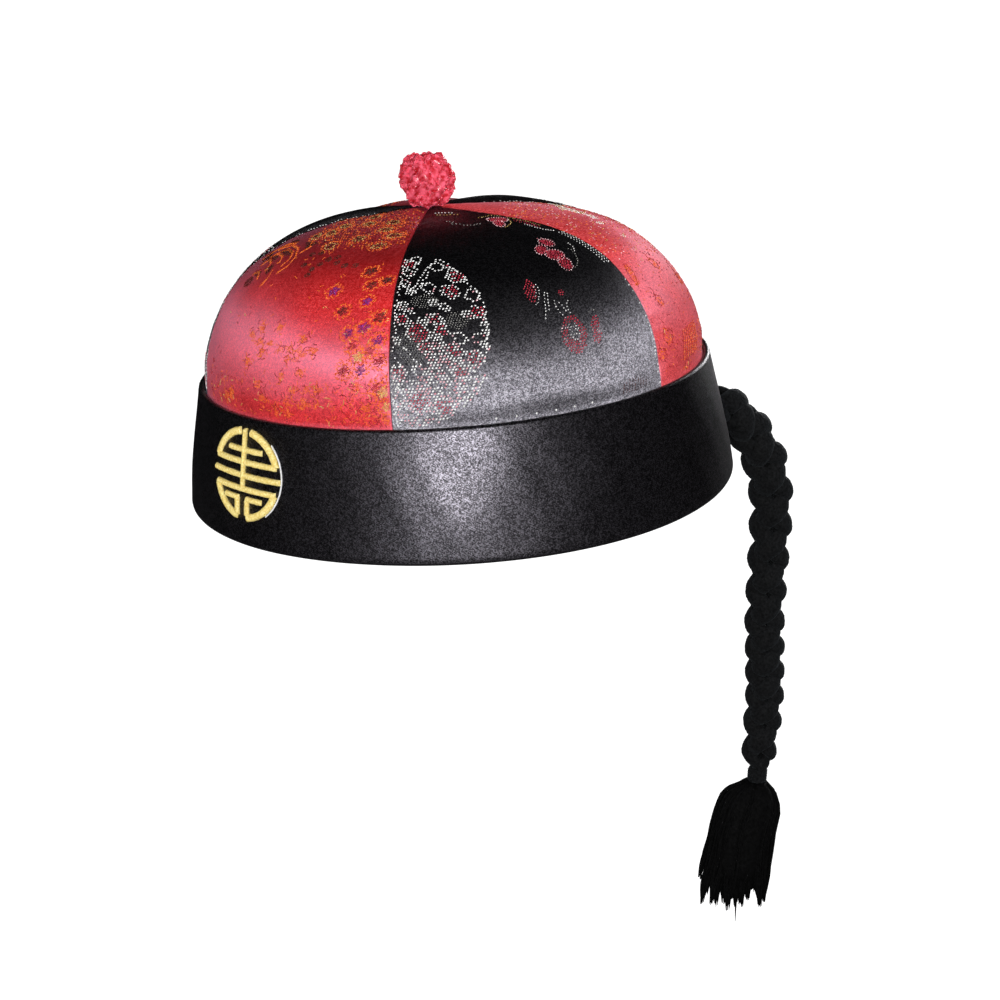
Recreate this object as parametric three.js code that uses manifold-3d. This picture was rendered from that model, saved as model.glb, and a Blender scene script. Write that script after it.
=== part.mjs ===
// Mandarin hat: a cap of six brocade gores on a flaring satin band, with a round emblem sewn
// on the front, a knotted button on the crown and a plaited braid with a tassel at the back.
// Millimetres, +Z up. The origin is the centre of the band's lower edge, and the front is -Y.
import * as THREE from 'three';
import { mergeVertices } from 'three/addons/utils/BufferGeometryUtils.js';
import Module from 'manifold-3d';

const wasm = await Module();
wasm.setup();

// Gap between pieces that lie against each other
const GAP = 0.3;

// Band: its outer radius at the rim and at its top edge, and its folded cloth
const RIM_RADIUS = 96;
const BAND_TOP_RADIUS = 88.7;
const BAND_HEIGHT = 41;
const BAND_WALL = 2.2;
const BAND_BELLY = 0.6;
// The rim hangs a little lower on one side
const RIM_SAG = 1.7;
const RIM_SAG_AZIMUTH = 100;
const BAND_SIDES = 60;
const BAND_STEPS = 4;
const FOLD_POINTS = 3;

// Crown: six gores under a rounded dome that starts inside the band
const CROWN_TOP = 94;
const CROWN_WALL = 1.6;
const CROWN_TUCK = 8;
// Where the seams between the hand-cut gores start at the band, and how far they turn on the way up
const SEAMS = [
  { azimuth: 35.2, turn: -1 },
  { azimuth: 98.4, turn: 4 },
  { azimuth: 158, turn: 2 },
  { azimuth: 217, turn: -2 },
  { azimuth: 276, turn: -8 },
  { azimuth: 331, turn: -15 },
];
// The share of the crown's rise over which the seams turn
const SEAM_TURN_REACH = 0.75;
const SHOULDER_POWER = 3.056;
const DOME_POWER = 1.887;
const CROWN_HOLE_RADIUS = 2.6;
// The gores are gathered up to the button, which sits a little off the middle
const CROWN_PEAK = 1.2;
const CROWN_PEAK_REACH = 18;
const CROWN_LEAN_POWER = 2.6;
const CROWN_ROWS = 12;
const CROWN_ROW_POWER = 1.15;
const GORE_PUFF = 0.7;
const SEAM_DIP = 0.9;
const SEAM_DIP_REACH = 3.5;
// How far across a gore each column of points lies, close together at the seams
const GORE_COLUMNS = [0, 0.035, 0.12, 0.3, 0.5, 0.7, 0.88, 0.965, 1];

// Emblem: raised gold thread on the front of the band
const BADGE_HALF_WIDTH = 17.2;
const BADGE_HALF_HEIGHT = 15;
const BADGE_HEIGHT_ON_BAND = 23.3;
const BADGE_STEP = 3.8;

// Button: a cord knotted round a core, on the gathered top of the crown
const BUTTON = { x: -2.9, y: -3.3, z: 104.1, coreRadius: 7.6, coreHalfHeight: 7.6 };
const BUTTON_CORD_RADIUS = 2.1;
const BUTTON_CORD_LIFT = 0.55;
const BUTTON_LEADS = 3;
const BUTTON_BIGHTS = 5;
const BUTTON_LATITUDE = 60;
const BUTTON_CORE_ROWS = 7;
const BUTTON_CORE_SIDES = 14;
const KNOT_STEPS = 4;
const KNOT_SIDES = 6;
const KNOT_LAP = 0.04;

// Braid: where it leaves the band and the upright plane in which it hangs
const BRAID_AZIMUTH = 160;
const BRAID_ROUTE = [
  { out: 98.4, up: 7.2 },
  { out: 101.8, up: 7.6 },
  { out: 106.2, up: 6.2 },
  { out: 110.8, up: 3.2 },
  { out: 115.4, up: -1.4 },
  { out: 120.0, up: -7.8 },
  { out: 124.2, up: -16.2 },
  { out: 127.0, up: -26.0 },
  { out: 127.8, up: -38.0 },
  { out: 126.8, up: -52.0 },
  { out: 125.2, up: -68.0 },
  { out: 123.8, up: -84.0 },
  { out: 123.4, up: -100.0 },
  { out: 123.0, up: -116.0 },
  { out: 121.4, up: -131.0 },
  { out: 119.8, up: -142.0 },
  { out: 119.0, up: -149.5 },
];
const PLAIT_PERIOD = 23;
const PLAIT_STEP = 2.875;
const PLAIT_SIDES = 16;
const PLAIT_CENTRE = 4.6;
const PLAIT_LIFT = 0.7;
const STRAND_HALF_WIDTH = 6.2;
const STRAND_HALF_THICKNESS = 2.9;
const PLAIT_CORE = 4.4;
// How thick the braid is along its length, as a share of the middle's
const BRAID_TAPER = [
  { along: 0, share: 0.86 },
  { along: 0.06, share: 1.06 },
  { along: 0.25, share: 1.06 },
  { along: 0.5, share: 0.97 },
  { along: 0.9, share: 0.92 },
  { along: 0.96, share: 0.84 },
  { along: 1, share: 0.48 },
];

// Seat that the braid is sewn to, an oval pad on the band
const SEAT_HALF_WIDTH = 11.5;
const SEAT_HALF_HEIGHT = 9;
const SEAT_THICKNESS = 2.6;
const SEAT_SIDES = 16;
// The pad's outline in rings, from the middle of its back over its edge to its front
const SEAT_RINGS = [
  { out: 0, share: 0.05 },
  { out: 0, share: 0.55 },
  { out: 0, share: 1 },
  { out: 0.6, share: 1 },
  { out: 1, share: 0.78 },
  { out: 1, share: 0.4 },
  { out: 1, share: 0.05 },
];

// Tie round the braid's end
const TIE_RADIUS = 4.3;
const TIE_LENGTH = 5.4;
const TIE_TURNS = 3;
const TIE_GROOVE = 0.9;
const TIE_STEPS_PER_TURN = 4;

// Tassel: locks of yarn that spread from a head
const TASSEL_AXIS = [
  { out: 118.3, up: -155.5 },
  { out: 117.3, up: -160.0 },
  { out: 113.4, up: -168.5 },
  { out: 109.6, up: -181.5 },
  { out: 107.2, up: -196.0 },
  { out: 106.2, up: -211.5 },
];
const TASSEL_HEAD = [
  { along: 0, radius: 4.2 },
  { along: 0.04, radius: 6.8 },
  { along: 0.09, radius: 10.0 },
  { along: 0.18, radius: 12.6 },
  { along: 0.36, radius: 13.2 },
];
const TASSEL_RINGS = [
  { locks: 12, radius: 11.0, spread: 13.4, width: 3.3, turn: 0 },
  { locks: 6, radius: 5.4, spread: 7.0, width: 3.5, turn: 20 },
  { locks: 1, radius: 0, spread: 0, width: 3.6, turn: 0 },
];
// How far down each lock reaches, in turn
const LOCK_ENDS = [0.98, 0.86, 1.0, 0.92, 0.8, 0.96, 0.88];
const LOCK_SIDES = 5;
const LOCK_FLATNESS = 0.82;
const LOCK_SWAY = 0.05;
// A lock's shape from inside the head to its pointed end
const LOCK_STATIONS = [
  { along: 0.16, out: 0.72, width: 0.9 },
  { along: 0.4, out: 1, width: 1 },
  { along: 0.64, out: 1.02, width: 1.04 },
  { along: 0.86, out: 1, width: 0.86 },
  { along: 1, out: 0.97, width: 0.3 },
];
const ROUND_SIDES = 12;

const CLOTH = {
  red: { color: 0xb8202a, roughness: 0.45, metalness: 0 },
  black: { color: 0x15130f, roughness: 0.4, metalness: 0 },
  satin: { color: 0x0f0e10, roughness: 0.35, metalness: 0 },
  gold: { color: 0xd9b84a, roughness: 0.45, metalness: 0.3 },
  cord: { color: 0xc4202c, roughness: 0.6, metalness: 0 },
  yarn: { color: 0x0c0c0e, roughness: 0.9, metalness: 0 },
};

const lerp = THREE.MathUtils.lerp;
const radians = THREE.MathUtils.degToRad;

function outward(azimuth) {
  return new THREE.Vector3(Math.sin(azimuth), -Math.cos(azimuth), 0);
}

// A value from a table whose rows say how far along they are
function along(table, key, t) {
  const next = table.findIndex((row) => row.along >= t);
  if (next <= 0) return table[0][key];
  const [a, b] = [table[next - 1], table[next]];
  return lerp(a[key], b[key], (t - a.along) / (b.along - a.along));
}

function toGeometry(points, triangles) {
  const geometry = new THREE.BufferGeometry();
  const flat = points.flatMap((p) => [p.x, p.y, p.z]);
  geometry.setAttribute('position', new THREE.Float32BufferAttribute(flat, 3));
  geometry.setIndex(triangles);
  return geometry;
}

// A closed body through rings of points, with a fan over each end
function loft(rings) {
  const sides = rings[0].length;
  const points = rings.flat();
  const triangles = [];
  for (let row = 0; row + 1 < rings.length; row += 1) {
    for (let i = 0; i < sides; i += 1) {
      const j = (i + 1) % sides;
      const [a, b] = [row * sides + i, row * sides + j];
      triangles.push(a, b, b + sides, a, b + sides, a + sides);
    }
  }
  const last = (rings.length - 1) * sides;
  for (const [start, flip] of [[0, true], [last, false]]) {
    const centre = new THREE.Vector3();
    for (let i = 0; i < sides; i += 1) centre.addScaledVector(points[start + i], 1 / sides);
    const middle = points.push(centre) - 1;
    for (let i = 0; i < sides; i += 1) {
      const [a, b] = [start + i, start + ((i + 1) % sides)];
      triangles.push(middle, flip ? b : a, flip ? a : b);
    }
  }
  return toGeometry(points, triangles);
}

// A wall between two sheets of points with the same rows and columns
function wall(outer, inner) {
  const rows = outer.length;
  const columns = outer[0].length;
  const points = [...outer.flat(), ...inner.flat()];
  const at = (sheet, row, column) => (sheet * rows + row) * columns + column;
  const triangles = [];
  const quad = (a, b, c, d) => triangles.push(a, b, c, a, c, d);
  for (let row = 0; row + 1 < rows; row += 1) {
    for (let column = 0; column + 1 < columns; column += 1) {
      const [r, c] = [row + 1, column + 1];
      quad(at(0, row, column), at(0, row, c), at(0, r, c), at(0, r, column));
      quad(at(1, row, column), at(1, r, column), at(1, r, c), at(1, row, c));
    }
    for (const [column, flip] of [[0, false], [columns - 1, true]]) {
      const [a, b] = flip ? [row + 1, row] : [row, row + 1];
      quad(at(0, a, column), at(0, b, column), at(1, b, column), at(1, a, column));
    }
  }
  for (let column = 0; column + 1 < columns; column += 1) {
    const c = column + 1;
    quad(at(0, 0, c), at(0, 0, column), at(1, 0, column), at(1, 0, c));
    const top = rows - 1;
    quad(at(0, top, column), at(0, top, c), at(1, top, c), at(1, top, column));
  }
  return toGeometry(points, triangles);
}

function toSolid(geometry) {
  const bare = geometry.clone();
  bare.deleteAttribute('normal');
  bare.deleteAttribute('uv');
  const merged = mergeVertices(bare);
  const vertProperties = new Float32Array(merged.getAttribute('position').array);
  const triVerts = new Uint32Array(merged.getIndex().array);
  return new wasm.Manifold(new wasm.Mesh({ numProp: 3, vertProperties, triVerts }));
}

function fuse(geometries) {
  const [first, ...others] = geometries.map(toSolid);
  const mesh = others.reduce((sum, solid) => sum.add(solid), first).getMesh();
  const geometry = new THREE.BufferGeometry();
  geometry.setAttribute('position', new THREE.BufferAttribute(mesh.vertProperties, 3));
  geometry.setIndex(new THREE.BufferAttribute(mesh.triVerts, 1));
  return geometry;
}

// Band

function bandRadius(z) {
  const t = z / BAND_HEIGHT;
  return lerp(RIM_RADIUS, BAND_TOP_RADIUS, t) + BAND_BELLY * Math.sin(Math.PI * t);
}

// The band's profile, up the outside, over the top fold, down the inside and round the hem
function bandProfile() {
  const fold = BAND_WALL / 2;
  const profile = [];
  for (let i = 0; i <= BAND_STEPS; i += 1) {
    const z = lerp(fold, BAND_HEIGHT - fold, i / BAND_STEPS);
    profile.push(new THREE.Vector2(bandRadius(z), z));
  }
  for (const end of [1, -1]) {
    const z = end > 0 ? BAND_HEIGHT - fold : fold;
    for (let i = 1; i < FOLD_POINTS; i += 1) {
      const turn = (Math.PI * i) / FOLD_POINTS;
      const out = end * fold * Math.cos(turn) - fold;
      profile.push(new THREE.Vector2(bandRadius(z) + out, z + end * fold * Math.sin(turn)));
    }
    if (end < 0) break;
    for (let i = BAND_STEPS; i >= 0; i -= 1) {
      const level = lerp(fold, BAND_HEIGHT - fold, i / BAND_STEPS);
      profile.push(new THREE.Vector2(bandRadius(level) - BAND_WALL, level));
    }
  }
  profile.push(profile[0].clone());
  return profile;
}

function band() {
  const ring = new THREE.LatheGeometry(bandProfile(), BAND_SIDES);
  ring.rotateX(Math.PI / 2);
  const points = ring.getAttribute('position');
  for (let i = 0; i < points.count; i += 1) {
    const toSag = Math.atan2(points.getX(i), -points.getY(i)) - radians(RIM_SAG_AZIMUTH);
    const share = Math.max(0, Math.cos(toSag)) ** 2 * (1 - points.getZ(i) / BAND_HEIGHT);
    points.setZ(i, points.getZ(i) - RIM_SAG * share);
  }
  return ring;
}

// Crown

// The outside of the crown as radius and height, from the edge inside the band to the top
function crownProfile() {
  const base = BAND_TOP_RADIUS - BAND_WALL - GAP;
  const start = BAND_HEIGHT - CROWN_TUCK;
  const profile = [new THREE.Vector2(bandRadius(start) - BAND_WALL - GAP, start)];
  const rise = CROWN_TOP - BAND_HEIGHT;
  const end = Math.asin((CROWN_HOLE_RADIUS / base) ** (SHOULDER_POWER / 2));
  for (let i = 0; i < CROWN_ROWS; i += 1) {
    const turn = lerp(Math.PI / 2, end, (i / (CROWN_ROWS - 1)) ** CROWN_ROW_POWER);
    const radius = base * Math.sin(turn) ** (2 / SHOULDER_POWER);
    const height = BAND_HEIGHT + rise * Math.max(0, Math.cos(turn)) ** (2 / DOME_POWER);
    profile.push(new THREE.Vector2(radius, height));
  }
  return profile;
}

// The direction that faces out of the crown at each point of its profile
function profileNormals(profile) {
  return profile.map((_, i) => {
    const a = profile[Math.max(0, i - 1)];
    const b = profile[Math.min(profile.length - 1, i + 1)];
    return new THREE.Vector2(b.y - a.y, a.x - b.x).normalize();
  });
}

function seamAzimuth(seam, z) {
  const share = (z - BAND_HEIGHT) / (CROWN_TOP - BAND_HEIGHT) / SEAM_TURN_REACH;
  return radians(seam.azimuth + seam.turn * Math.min(1, Math.max(0, share)));
}

function crownPanel(index) {
  const profile = crownProfile();
  const normals = profileNormals(profile);
  const next = (index + 1) % SEAMS.length;
  const sheet = (depth) => profile.map((point, row) => GORE_COLUMNS.map((share) => {
    const from = seamAzimuth(SEAMS[index], point.y);
    const to = seamAzimuth(SEAMS[next], point.y) + (next === 0 ? 2 * Math.PI : 0);
    const edge = Math.asin(GAP / 2 / (point.x - CROWN_WALL));
    const azimuth = lerp(from + edge, to - edge, share);
    const free = point.y > BAND_HEIGHT ? 1 : 0;
    const fromSeam = point.x * Math.min(azimuth - from, to - azimuth);
    const dip = SEAM_DIP * Math.exp(-fromSeam / SEAM_DIP_REACH);
    const lift = free * (GORE_PUFF * Math.sin(Math.PI * share) - dip) - depth;
    const radius = point.x + normals[row].x * lift;
    const place = outward(azimuth).multiplyScalar(radius);
    const gather = CROWN_PEAK * Math.exp(-((radius / CROWN_PEAK_REACH) ** 2));
    const lean = free * (1 - point.x / BAND_TOP_RADIUS) ** CROWN_LEAN_POWER;
    place.z = point.y + normals[row].y * lift + gather;
    place.x += lean * BUTTON.x;
    place.y += lean * BUTTON.y;
    return place;
  }));
  return wall(sheet(0), sheet(CROWN_WALL));
}

// Emblem

// Strokes of the emblem in shares of its half width and half height
const BADGE_BARS = [
  { u: [0, 0], v: [0.99, -0.33], width: 1.8, height: 1.5 },
  { u: [-0.5, 0.5], v: [0.53, 0.53], width: 1.9, height: 1.2 },
  { u: [-0.9, 0.9], v: [0.27, 0.27], width: 2.0, height: 1.25 },
  { u: [-1, 1], v: [-0.02, -0.02], width: 2.0, height: 1.2 },
  { u: [-0.9, 0.9], v: [-0.31, -0.31], width: 2.0, height: 1.25 },
  { u: [-0.17, -0.17], v: [-0.52, -0.9], width: 2.1, height: 1.3 },
  { u: [0.13, 0.13], v: [-0.52, -0.9], width: 2.1, height: 1.3 },
  { u: [-0.13, -0.58], v: [-0.52, -0.52], width: 1.9, height: 1.2 },
  { u: [0.09, 0.54], v: [-0.52, -0.52], width: 1.9, height: 1.2 },
];
// Curved strokes: the angle from the right-hand side at each end
const BADGE_ARCS = [
  { from: 17, to: 81, width: 2.5, height: 1.35 },
  { from: 163, to: 99, width: 2.5, height: 1.35 },
  { from: -20, to: -82, width: 2.5, height: 1.35 },
  { from: 200, to: 260, width: 2.5, height: 1.35 },
];
const ARC_SHARE = 0.93;
// A stroke's section, in shares of its width and height
const STROKE_SECTION = [
  { share: 0.5, rise: 0 },
  { share: 0.5, rise: 0.55 },
  { share: 0.24, rise: 1 },
  { share: -0.24, rise: 1 },
  { share: -0.5, rise: 0.55 },
  { share: -0.5, rise: 0 },
];

// A point of the emblem: across, up the band and out from its surface
function onBand(across, up, out) {
  const slope = Math.atan2(RIM_RADIUS - BAND_TOP_RADIUS, BAND_HEIGHT);
  const z = BADGE_HEIGHT_ON_BAND + up * Math.cos(slope);
  const radius = bandRadius(z) + (GAP + out) * Math.cos(slope);
  const place = outward(across / bandRadius(z)).multiplyScalar(radius);
  place.z = z + (GAP + out) * Math.sin(slope);
  return place;
}

// A raised stroke with sloping shoulders along a line of flat points
function stroke(line, width, height) {
  const rings = line.map((point, i) => {
    const before = line[Math.max(0, i - 1)];
    const after = line[Math.min(line.length - 1, i + 1)];
    const side = new THREE.Vector2(before.y - after.y, after.x - before.x).normalize();
    return STROKE_SECTION.map(({ share, rise }) => onBand(
      point.x + side.x * share * width,
      point.y + side.y * share * width,
      rise * height,
    ));
  });
  return loft(rings);
}

function badgeBar({ u, v, width, height }) {
  const start = new THREE.Vector2(u[0] * BADGE_HALF_WIDTH, v[0] * BADGE_HALF_HEIGHT);
  const end = new THREE.Vector2(u[1] * BADGE_HALF_WIDTH, v[1] * BADGE_HALF_HEIGHT);
  const steps = Math.max(1, Math.round(start.distanceTo(end) / BADGE_STEP));
  const line = [];
  for (let i = 0; i <= steps; i += 1) line.push(start.clone().lerp(end, i / steps));
  return stroke(line, width, height);
}

function badgeArc({ from, to, width, height }) {
  const sweep = radians(Math.abs(to - from)) * BADGE_HALF_WIDTH;
  const steps = Math.round(sweep / BADGE_STEP);
  const line = [];
  for (let i = 0; i <= steps; i += 1) {
    const angle = radians(lerp(from, to, i / steps));
    line.push(new THREE.Vector2(
      ARC_SHARE * BADGE_HALF_WIDTH * Math.cos(angle),
      ARC_SHARE * BADGE_HALF_HEIGHT * Math.sin(angle),
    ));
  }
  return stroke(line, width, height);
}

function badge() {
  return fuse([...BADGE_BARS.map(badgeBar), ...BADGE_ARCS.map(badgeArc)]);
}

// Button

function buttonCore() {
  const { coreRadius, coreHalfHeight } = BUTTON;
  const profile = [];
  for (let i = 0; i <= BUTTON_CORE_ROWS; i += 1) {
    const turn = (Math.PI * i) / BUTTON_CORE_ROWS - Math.PI / 2;
    const radius = i % BUTTON_CORE_ROWS === 0 ? 0 : coreRadius * Math.cos(turn);
    profile.push(new THREE.Vector2(radius, coreHalfHeight * Math.sin(turn)));
  }
  const core = new THREE.LatheGeometry(profile, BUTTON_CORE_SIDES);
  core.rotateX(Math.PI / 2);
  return core;
}

// The knotted cord's line on the core: it winds round while it swings up and down, and
// passes over and under itself in turn
function knotPoint(turn) {
  const phase = (BUTTON_BIGHTS * turn) / BUTTON_LEADS;
  const latitude = radians(BUTTON_LATITUDE) * Math.cos(phase);
  const lift = BUTTON_CORD_LIFT * Math.sin(2 * phase);
  const radius = (BUTTON.coreRadius + lift) * Math.cos(latitude);
  const place = outward(turn).multiplyScalar(radius);
  place.z = (BUTTON.coreHalfHeight + lift) * Math.sin(latitude);
  return place;
}

// A round length of the knot's cord
function knotLength(from, to) {
  const rings = [];
  for (let i = 0; i <= KNOT_STEPS; i += 1) {
    const turn = lerp(from, to, i / KNOT_STEPS);
    const centre = knotPoint(turn);
    const ahead = knotPoint(turn + 0.01).sub(knotPoint(turn - 0.01)).normalize();
    const side = new THREE.Vector3().crossVectors(ahead, centre).normalize();
    const rise = new THREE.Vector3().crossVectors(ahead, side);
    const ring = [];
    for (let k = 0; k < KNOT_SIDES; k += 1) {
      const angle = (2 * Math.PI * k) / KNOT_SIDES;
      ring.push(centre.clone()
        .addScaledVector(side, BUTTON_CORD_RADIUS * Math.cos(angle))
        .addScaledVector(rise, BUTTON_CORD_RADIUS * Math.sin(angle)));
    }
    rings.push(ring);
  }
  return loft(rings);
}

function button() {
  const lengths = [];
  const count = 2 * BUTTON_BIGHTS;
  const whole = 2 * Math.PI * BUTTON_LEADS;
  for (let i = 0; i < count; i += 1) {
    const [from, to] = [(whole * i) / count, (whole * (i + 1)) / count];
    lengths.push(knotLength(from - KNOT_LAP, to + KNOT_LAP));
  }
  const knot = fuse([buttonCore(), ...lengths]);
  knot.translate(BUTTON.x, BUTTON.y, BUTTON.z);
  return knot;
}

// Braid, tie and tassel, all on lines in one upright plane

const plane = {
  out: outward(radians(BRAID_AZIMUTH)),
  across: outward(radians(BRAID_AZIMUTH + 90)),
};

function planeCurve(table) {
  const points = table.map(({ out, up }) => {
    const place = plane.out.clone().multiplyScalar(out);
    place.z = up;
    return place;
  });
  return new THREE.CatmullRomCurve3(points, false, 'centripetal');
}

// A ring of points square to a curve, with a radius for each angle from the plane's side
function ringOn(curve, t, sides, radiusAt) {
  const centre = curve.getPointAt(t);
  const ahead = curve.getTangentAt(t);
  const side = plane.across;
  const rise = new THREE.Vector3().crossVectors(ahead, side).normalize();
  const ring = [];
  for (let k = 0; k < sides; k += 1) {
    const angle = (2 * Math.PI * k) / sides;
    const radius = radiusAt(angle);
    ring.push(centre.clone()
      .addScaledVector(side, radius * Math.cos(angle))
      .addScaledVector(rise, radius * Math.sin(angle)));
  }
  return ring;
}

// How far the plait's surface lies from its middle: four flat strands, two winding each
// way, lift over and dip under each other at every quarter of their period
function plaitRadius(angle, distance) {
  let furthest = PLAIT_CORE;
  for (const way of [1, -1]) {
    for (const start of [0, Math.PI]) {
      const wound = way * ((2 * Math.PI * distance) / PLAIT_PERIOD) + start;
      const apart = Math.atan2(Math.sin(angle - wound), Math.cos(angle - wound));
      const centre = PLAIT_CENTRE + way * PLAIT_LIFT * Math.cos(2 * wound);
      const across = (centre * apart) / STRAND_HALF_WIDTH;
      if (Math.abs(across) < 1) {
        const bulge = STRAND_HALF_THICKNESS * Math.sqrt(1 - across * across);
        furthest = Math.max(furthest, centre + bulge);
      }
    }
  }
  return furthest;
}

function braid() {
  const curve = planeCurve(BRAID_ROUTE);
  const length = curve.getLength();
  const steps = Math.round(length / PLAIT_STEP);
  const rings = [];
  for (let i = 0; i <= steps; i += 1) {
    const t = i / steps;
    const share = along(BRAID_TAPER, 'share', t);
    rings.push(ringOn(curve, t, PLAIT_SIDES, (angle) => share * plaitRadius(angle, t * length)));
  }
  return loft(rings);
}

// The pad that the braid is sewn to, shaped to the band
function braidBase() {
  const middle = BRAID_ROUTE[0].up;
  const rings = SEAT_RINGS.map(({ out, share }) => {
    const ring = [];
    for (let k = 0; k < SEAT_SIDES; k += 1) {
      const angle = (2 * Math.PI * k) / SEAT_SIDES;
      const z = middle + share * SEAT_HALF_HEIGHT * Math.sin(angle);
      const turn = (share * SEAT_HALF_WIDTH * Math.cos(angle)) / bandRadius(z);
      const radius = bandRadius(z) + GAP + out * SEAT_THICKNESS;
      const place = outward(radians(BRAID_AZIMUTH) + turn).multiplyScalar(radius);
      place.z = z;
      ring.push(place);
    }
    return ring;
  });
  return loft(rings);
}

// Turns of yarn wound round the end of the braid
function tie() {
  const start = BRAID_ROUTE[BRAID_ROUTE.length - 1];
  const end = TASSEL_AXIS[0];
  const span = Math.hypot(end.out - start.out, end.up - start.up);
  const curve = planeCurve([start, end]);
  const steps = TIE_TURNS * TIE_STEPS_PER_TURN;
  const margin = (span - TIE_LENGTH) / 2 / span;
  const rings = [];
  for (let i = 0; i <= steps; i += 1) {
    const t = lerp(margin, 1 - margin, i / steps);
    const bulge = Math.abs(Math.sin((Math.PI * TIE_TURNS * i) / steps));
    const radius = TIE_RADIUS - TIE_GROOVE * (1 - bulge);
    rings.push(ringOn(curve, t, ROUND_SIDES, () => radius));
  }
  return loft(rings);
}

// One lock of yarn, from inside the head to its pointed end
function lock(curve, ring, index, end) {
  const turn = radians(ring.turn) + (2 * Math.PI * index) / ring.locks;
  const rings = LOCK_STATIONS.map((station) => {
    const t = Math.min(1, station.along * end);
    const from = lerp(ring.radius, ring.spread, station.along) * station.out;
    const middle = ringOn(curve, t, 1, () => 0)[0];
    const ahead = curve.getTangentAt(t);
    const rise = new THREE.Vector3().crossVectors(ahead, plane.across).normalize();
    const sway = LOCK_SWAY * Math.sin(7 * station.along + 2 * index);
    const out = plane.across.clone().multiplyScalar(Math.cos(turn + sway))
      .addScaledVector(rise, Math.sin(turn + sway));
    const side = new THREE.Vector3().crossVectors(ahead, out);
    middle.addScaledVector(out, from);
    const section = [];
    for (let k = 0; k < LOCK_SIDES; k += 1) {
      const angle = (2 * Math.PI * k) / LOCK_SIDES;
      section.push(middle.clone()
        .addScaledVector(out, LOCK_FLATNESS * ring.width * station.width * Math.cos(angle))
        .addScaledVector(side, ring.width * station.width * Math.sin(angle)));
    }
    return section;
  });
  return loft(rings);
}

function tassel() {
  const curve = planeCurve(TASSEL_AXIS);
  const head = loft(TASSEL_HEAD.map(({ along: t, radius }) => (
    ringOn(curve, t, ROUND_SIDES, () => radius)
  )));
  const locks = TASSEL_RINGS.flatMap((ring) => {
    const count = Array.from({ length: ring.locks }, (_, i) => i);
    return count.map((i) => lock(curve, ring, i, LOCK_ENDS[i % LOCK_ENDS.length]));
  });
  return fuse([head, ...locks]);
}

function piece(name, geometry, finish) {
  const mesh = new THREE.Mesh(geometry, new THREE.MeshStandardMaterial(finish));
  mesh.name = name;
  return mesh;
}

const hat = new THREE.Group();
for (let i = 0; i < SEAMS.length; i += 1) {
  const finish = i % 2 === 0 ? CLOTH.black : CLOTH.red;
  hat.add(piece(`crown_panel_${i + 1}`, crownPanel(i), finish));
}
hat.add(piece('band', band(), CLOTH.satin));
hat.add(piece('badge', badge(), CLOTH.gold));
hat.add(piece('crown_button', button(), CLOTH.cord));
hat.add(piece('braid_base', braidBase(), CLOTH.yarn));
hat.add(piece('braid', braid(), CLOTH.yarn));
hat.add(piece('braid_tie', tie(), CLOTH.yarn));
hat.add(piece('tassel', tassel(), CLOTH.yarn));

export default hat;
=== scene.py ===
# Mandarin hat: cloth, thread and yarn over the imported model.
# Sizes are in millimetres until a mesh is made, in the model's own frame: the origin is the
# centre of the band's lower edge, +Z is up, and azimuths start at the front, -Y, and turn to +X.
import math

import bpy
import numpy as np
from mathutils import Matrix, Vector


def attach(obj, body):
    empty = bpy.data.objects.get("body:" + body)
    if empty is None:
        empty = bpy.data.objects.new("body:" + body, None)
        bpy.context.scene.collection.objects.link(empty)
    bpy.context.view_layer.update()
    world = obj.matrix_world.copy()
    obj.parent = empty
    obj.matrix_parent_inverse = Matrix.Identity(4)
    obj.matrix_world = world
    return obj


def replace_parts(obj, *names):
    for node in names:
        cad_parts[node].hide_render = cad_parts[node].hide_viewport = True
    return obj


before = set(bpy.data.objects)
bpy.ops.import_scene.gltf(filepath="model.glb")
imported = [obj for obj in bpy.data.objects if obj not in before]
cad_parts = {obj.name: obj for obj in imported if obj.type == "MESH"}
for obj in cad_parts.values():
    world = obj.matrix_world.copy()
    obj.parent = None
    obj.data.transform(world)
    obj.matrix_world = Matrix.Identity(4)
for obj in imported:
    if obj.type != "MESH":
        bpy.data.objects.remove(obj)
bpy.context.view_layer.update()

MM = 0.001
GAP = 0.3
rng = np.random.default_rng(7)

# Band
RIM_RADIUS = 96
BAND_TOP_RADIUS = 88.7
BAND_HEIGHT = 41
BAND_WALL = 2.2
BAND_BELLY = 0.6
RIM_SAG = 1.7
RIM_SAG_AZIMUTH = math.radians(100)

# Crown
CROWN_TOP = 94
CROWN_WALL = 1.6
CROWN_TUCK = 8
GORES = 6
# Where the seams start at the band, how far they turn on the way up, and over what share of it
SEAMS = np.radians([35.2, 98.4, 158.0, 217.0, 276.0, 331.0, 395.2])
SEAM_TURNS = np.radians([-1.0, 4.0, 2.0, -2.0, -8.0, -15.0, -1.0])
SEAM_TURN_REACH = 0.75
# Where the cloth of each gore is laid out from
GORE_MIDDLES = np.radians([65.7, 125.7, 185.7, 245.7, 305.7, 365.7])
SHOULDER_POWER = 3.056
DOME_POWER = 1.887
CROWN_HOLE_RADIUS = 2.6
CROWN_PEAK = 1.2
CROWN_PEAK_REACH = 18
CROWN_LEAN_POWER = 2.6
GORE_PUFF = 0.7
SEAM_DIP = 0.9
SEAM_DIP_REACH = 3.5
# How far up from the band the cloth's swell grows
SWELL_START = 7
PUCKER_HEIGHT = 0.16
PUCKER_REACH = 4
WAVE_HEIGHT = 0.22
GATHER_HEIGHT = 0.2
GATHER_REACH = 5

# Emblem
BADGE_HALVES = np.array([17.2, 15])
BADGE_HEIGHT_ON_BAND = 23.3

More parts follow.
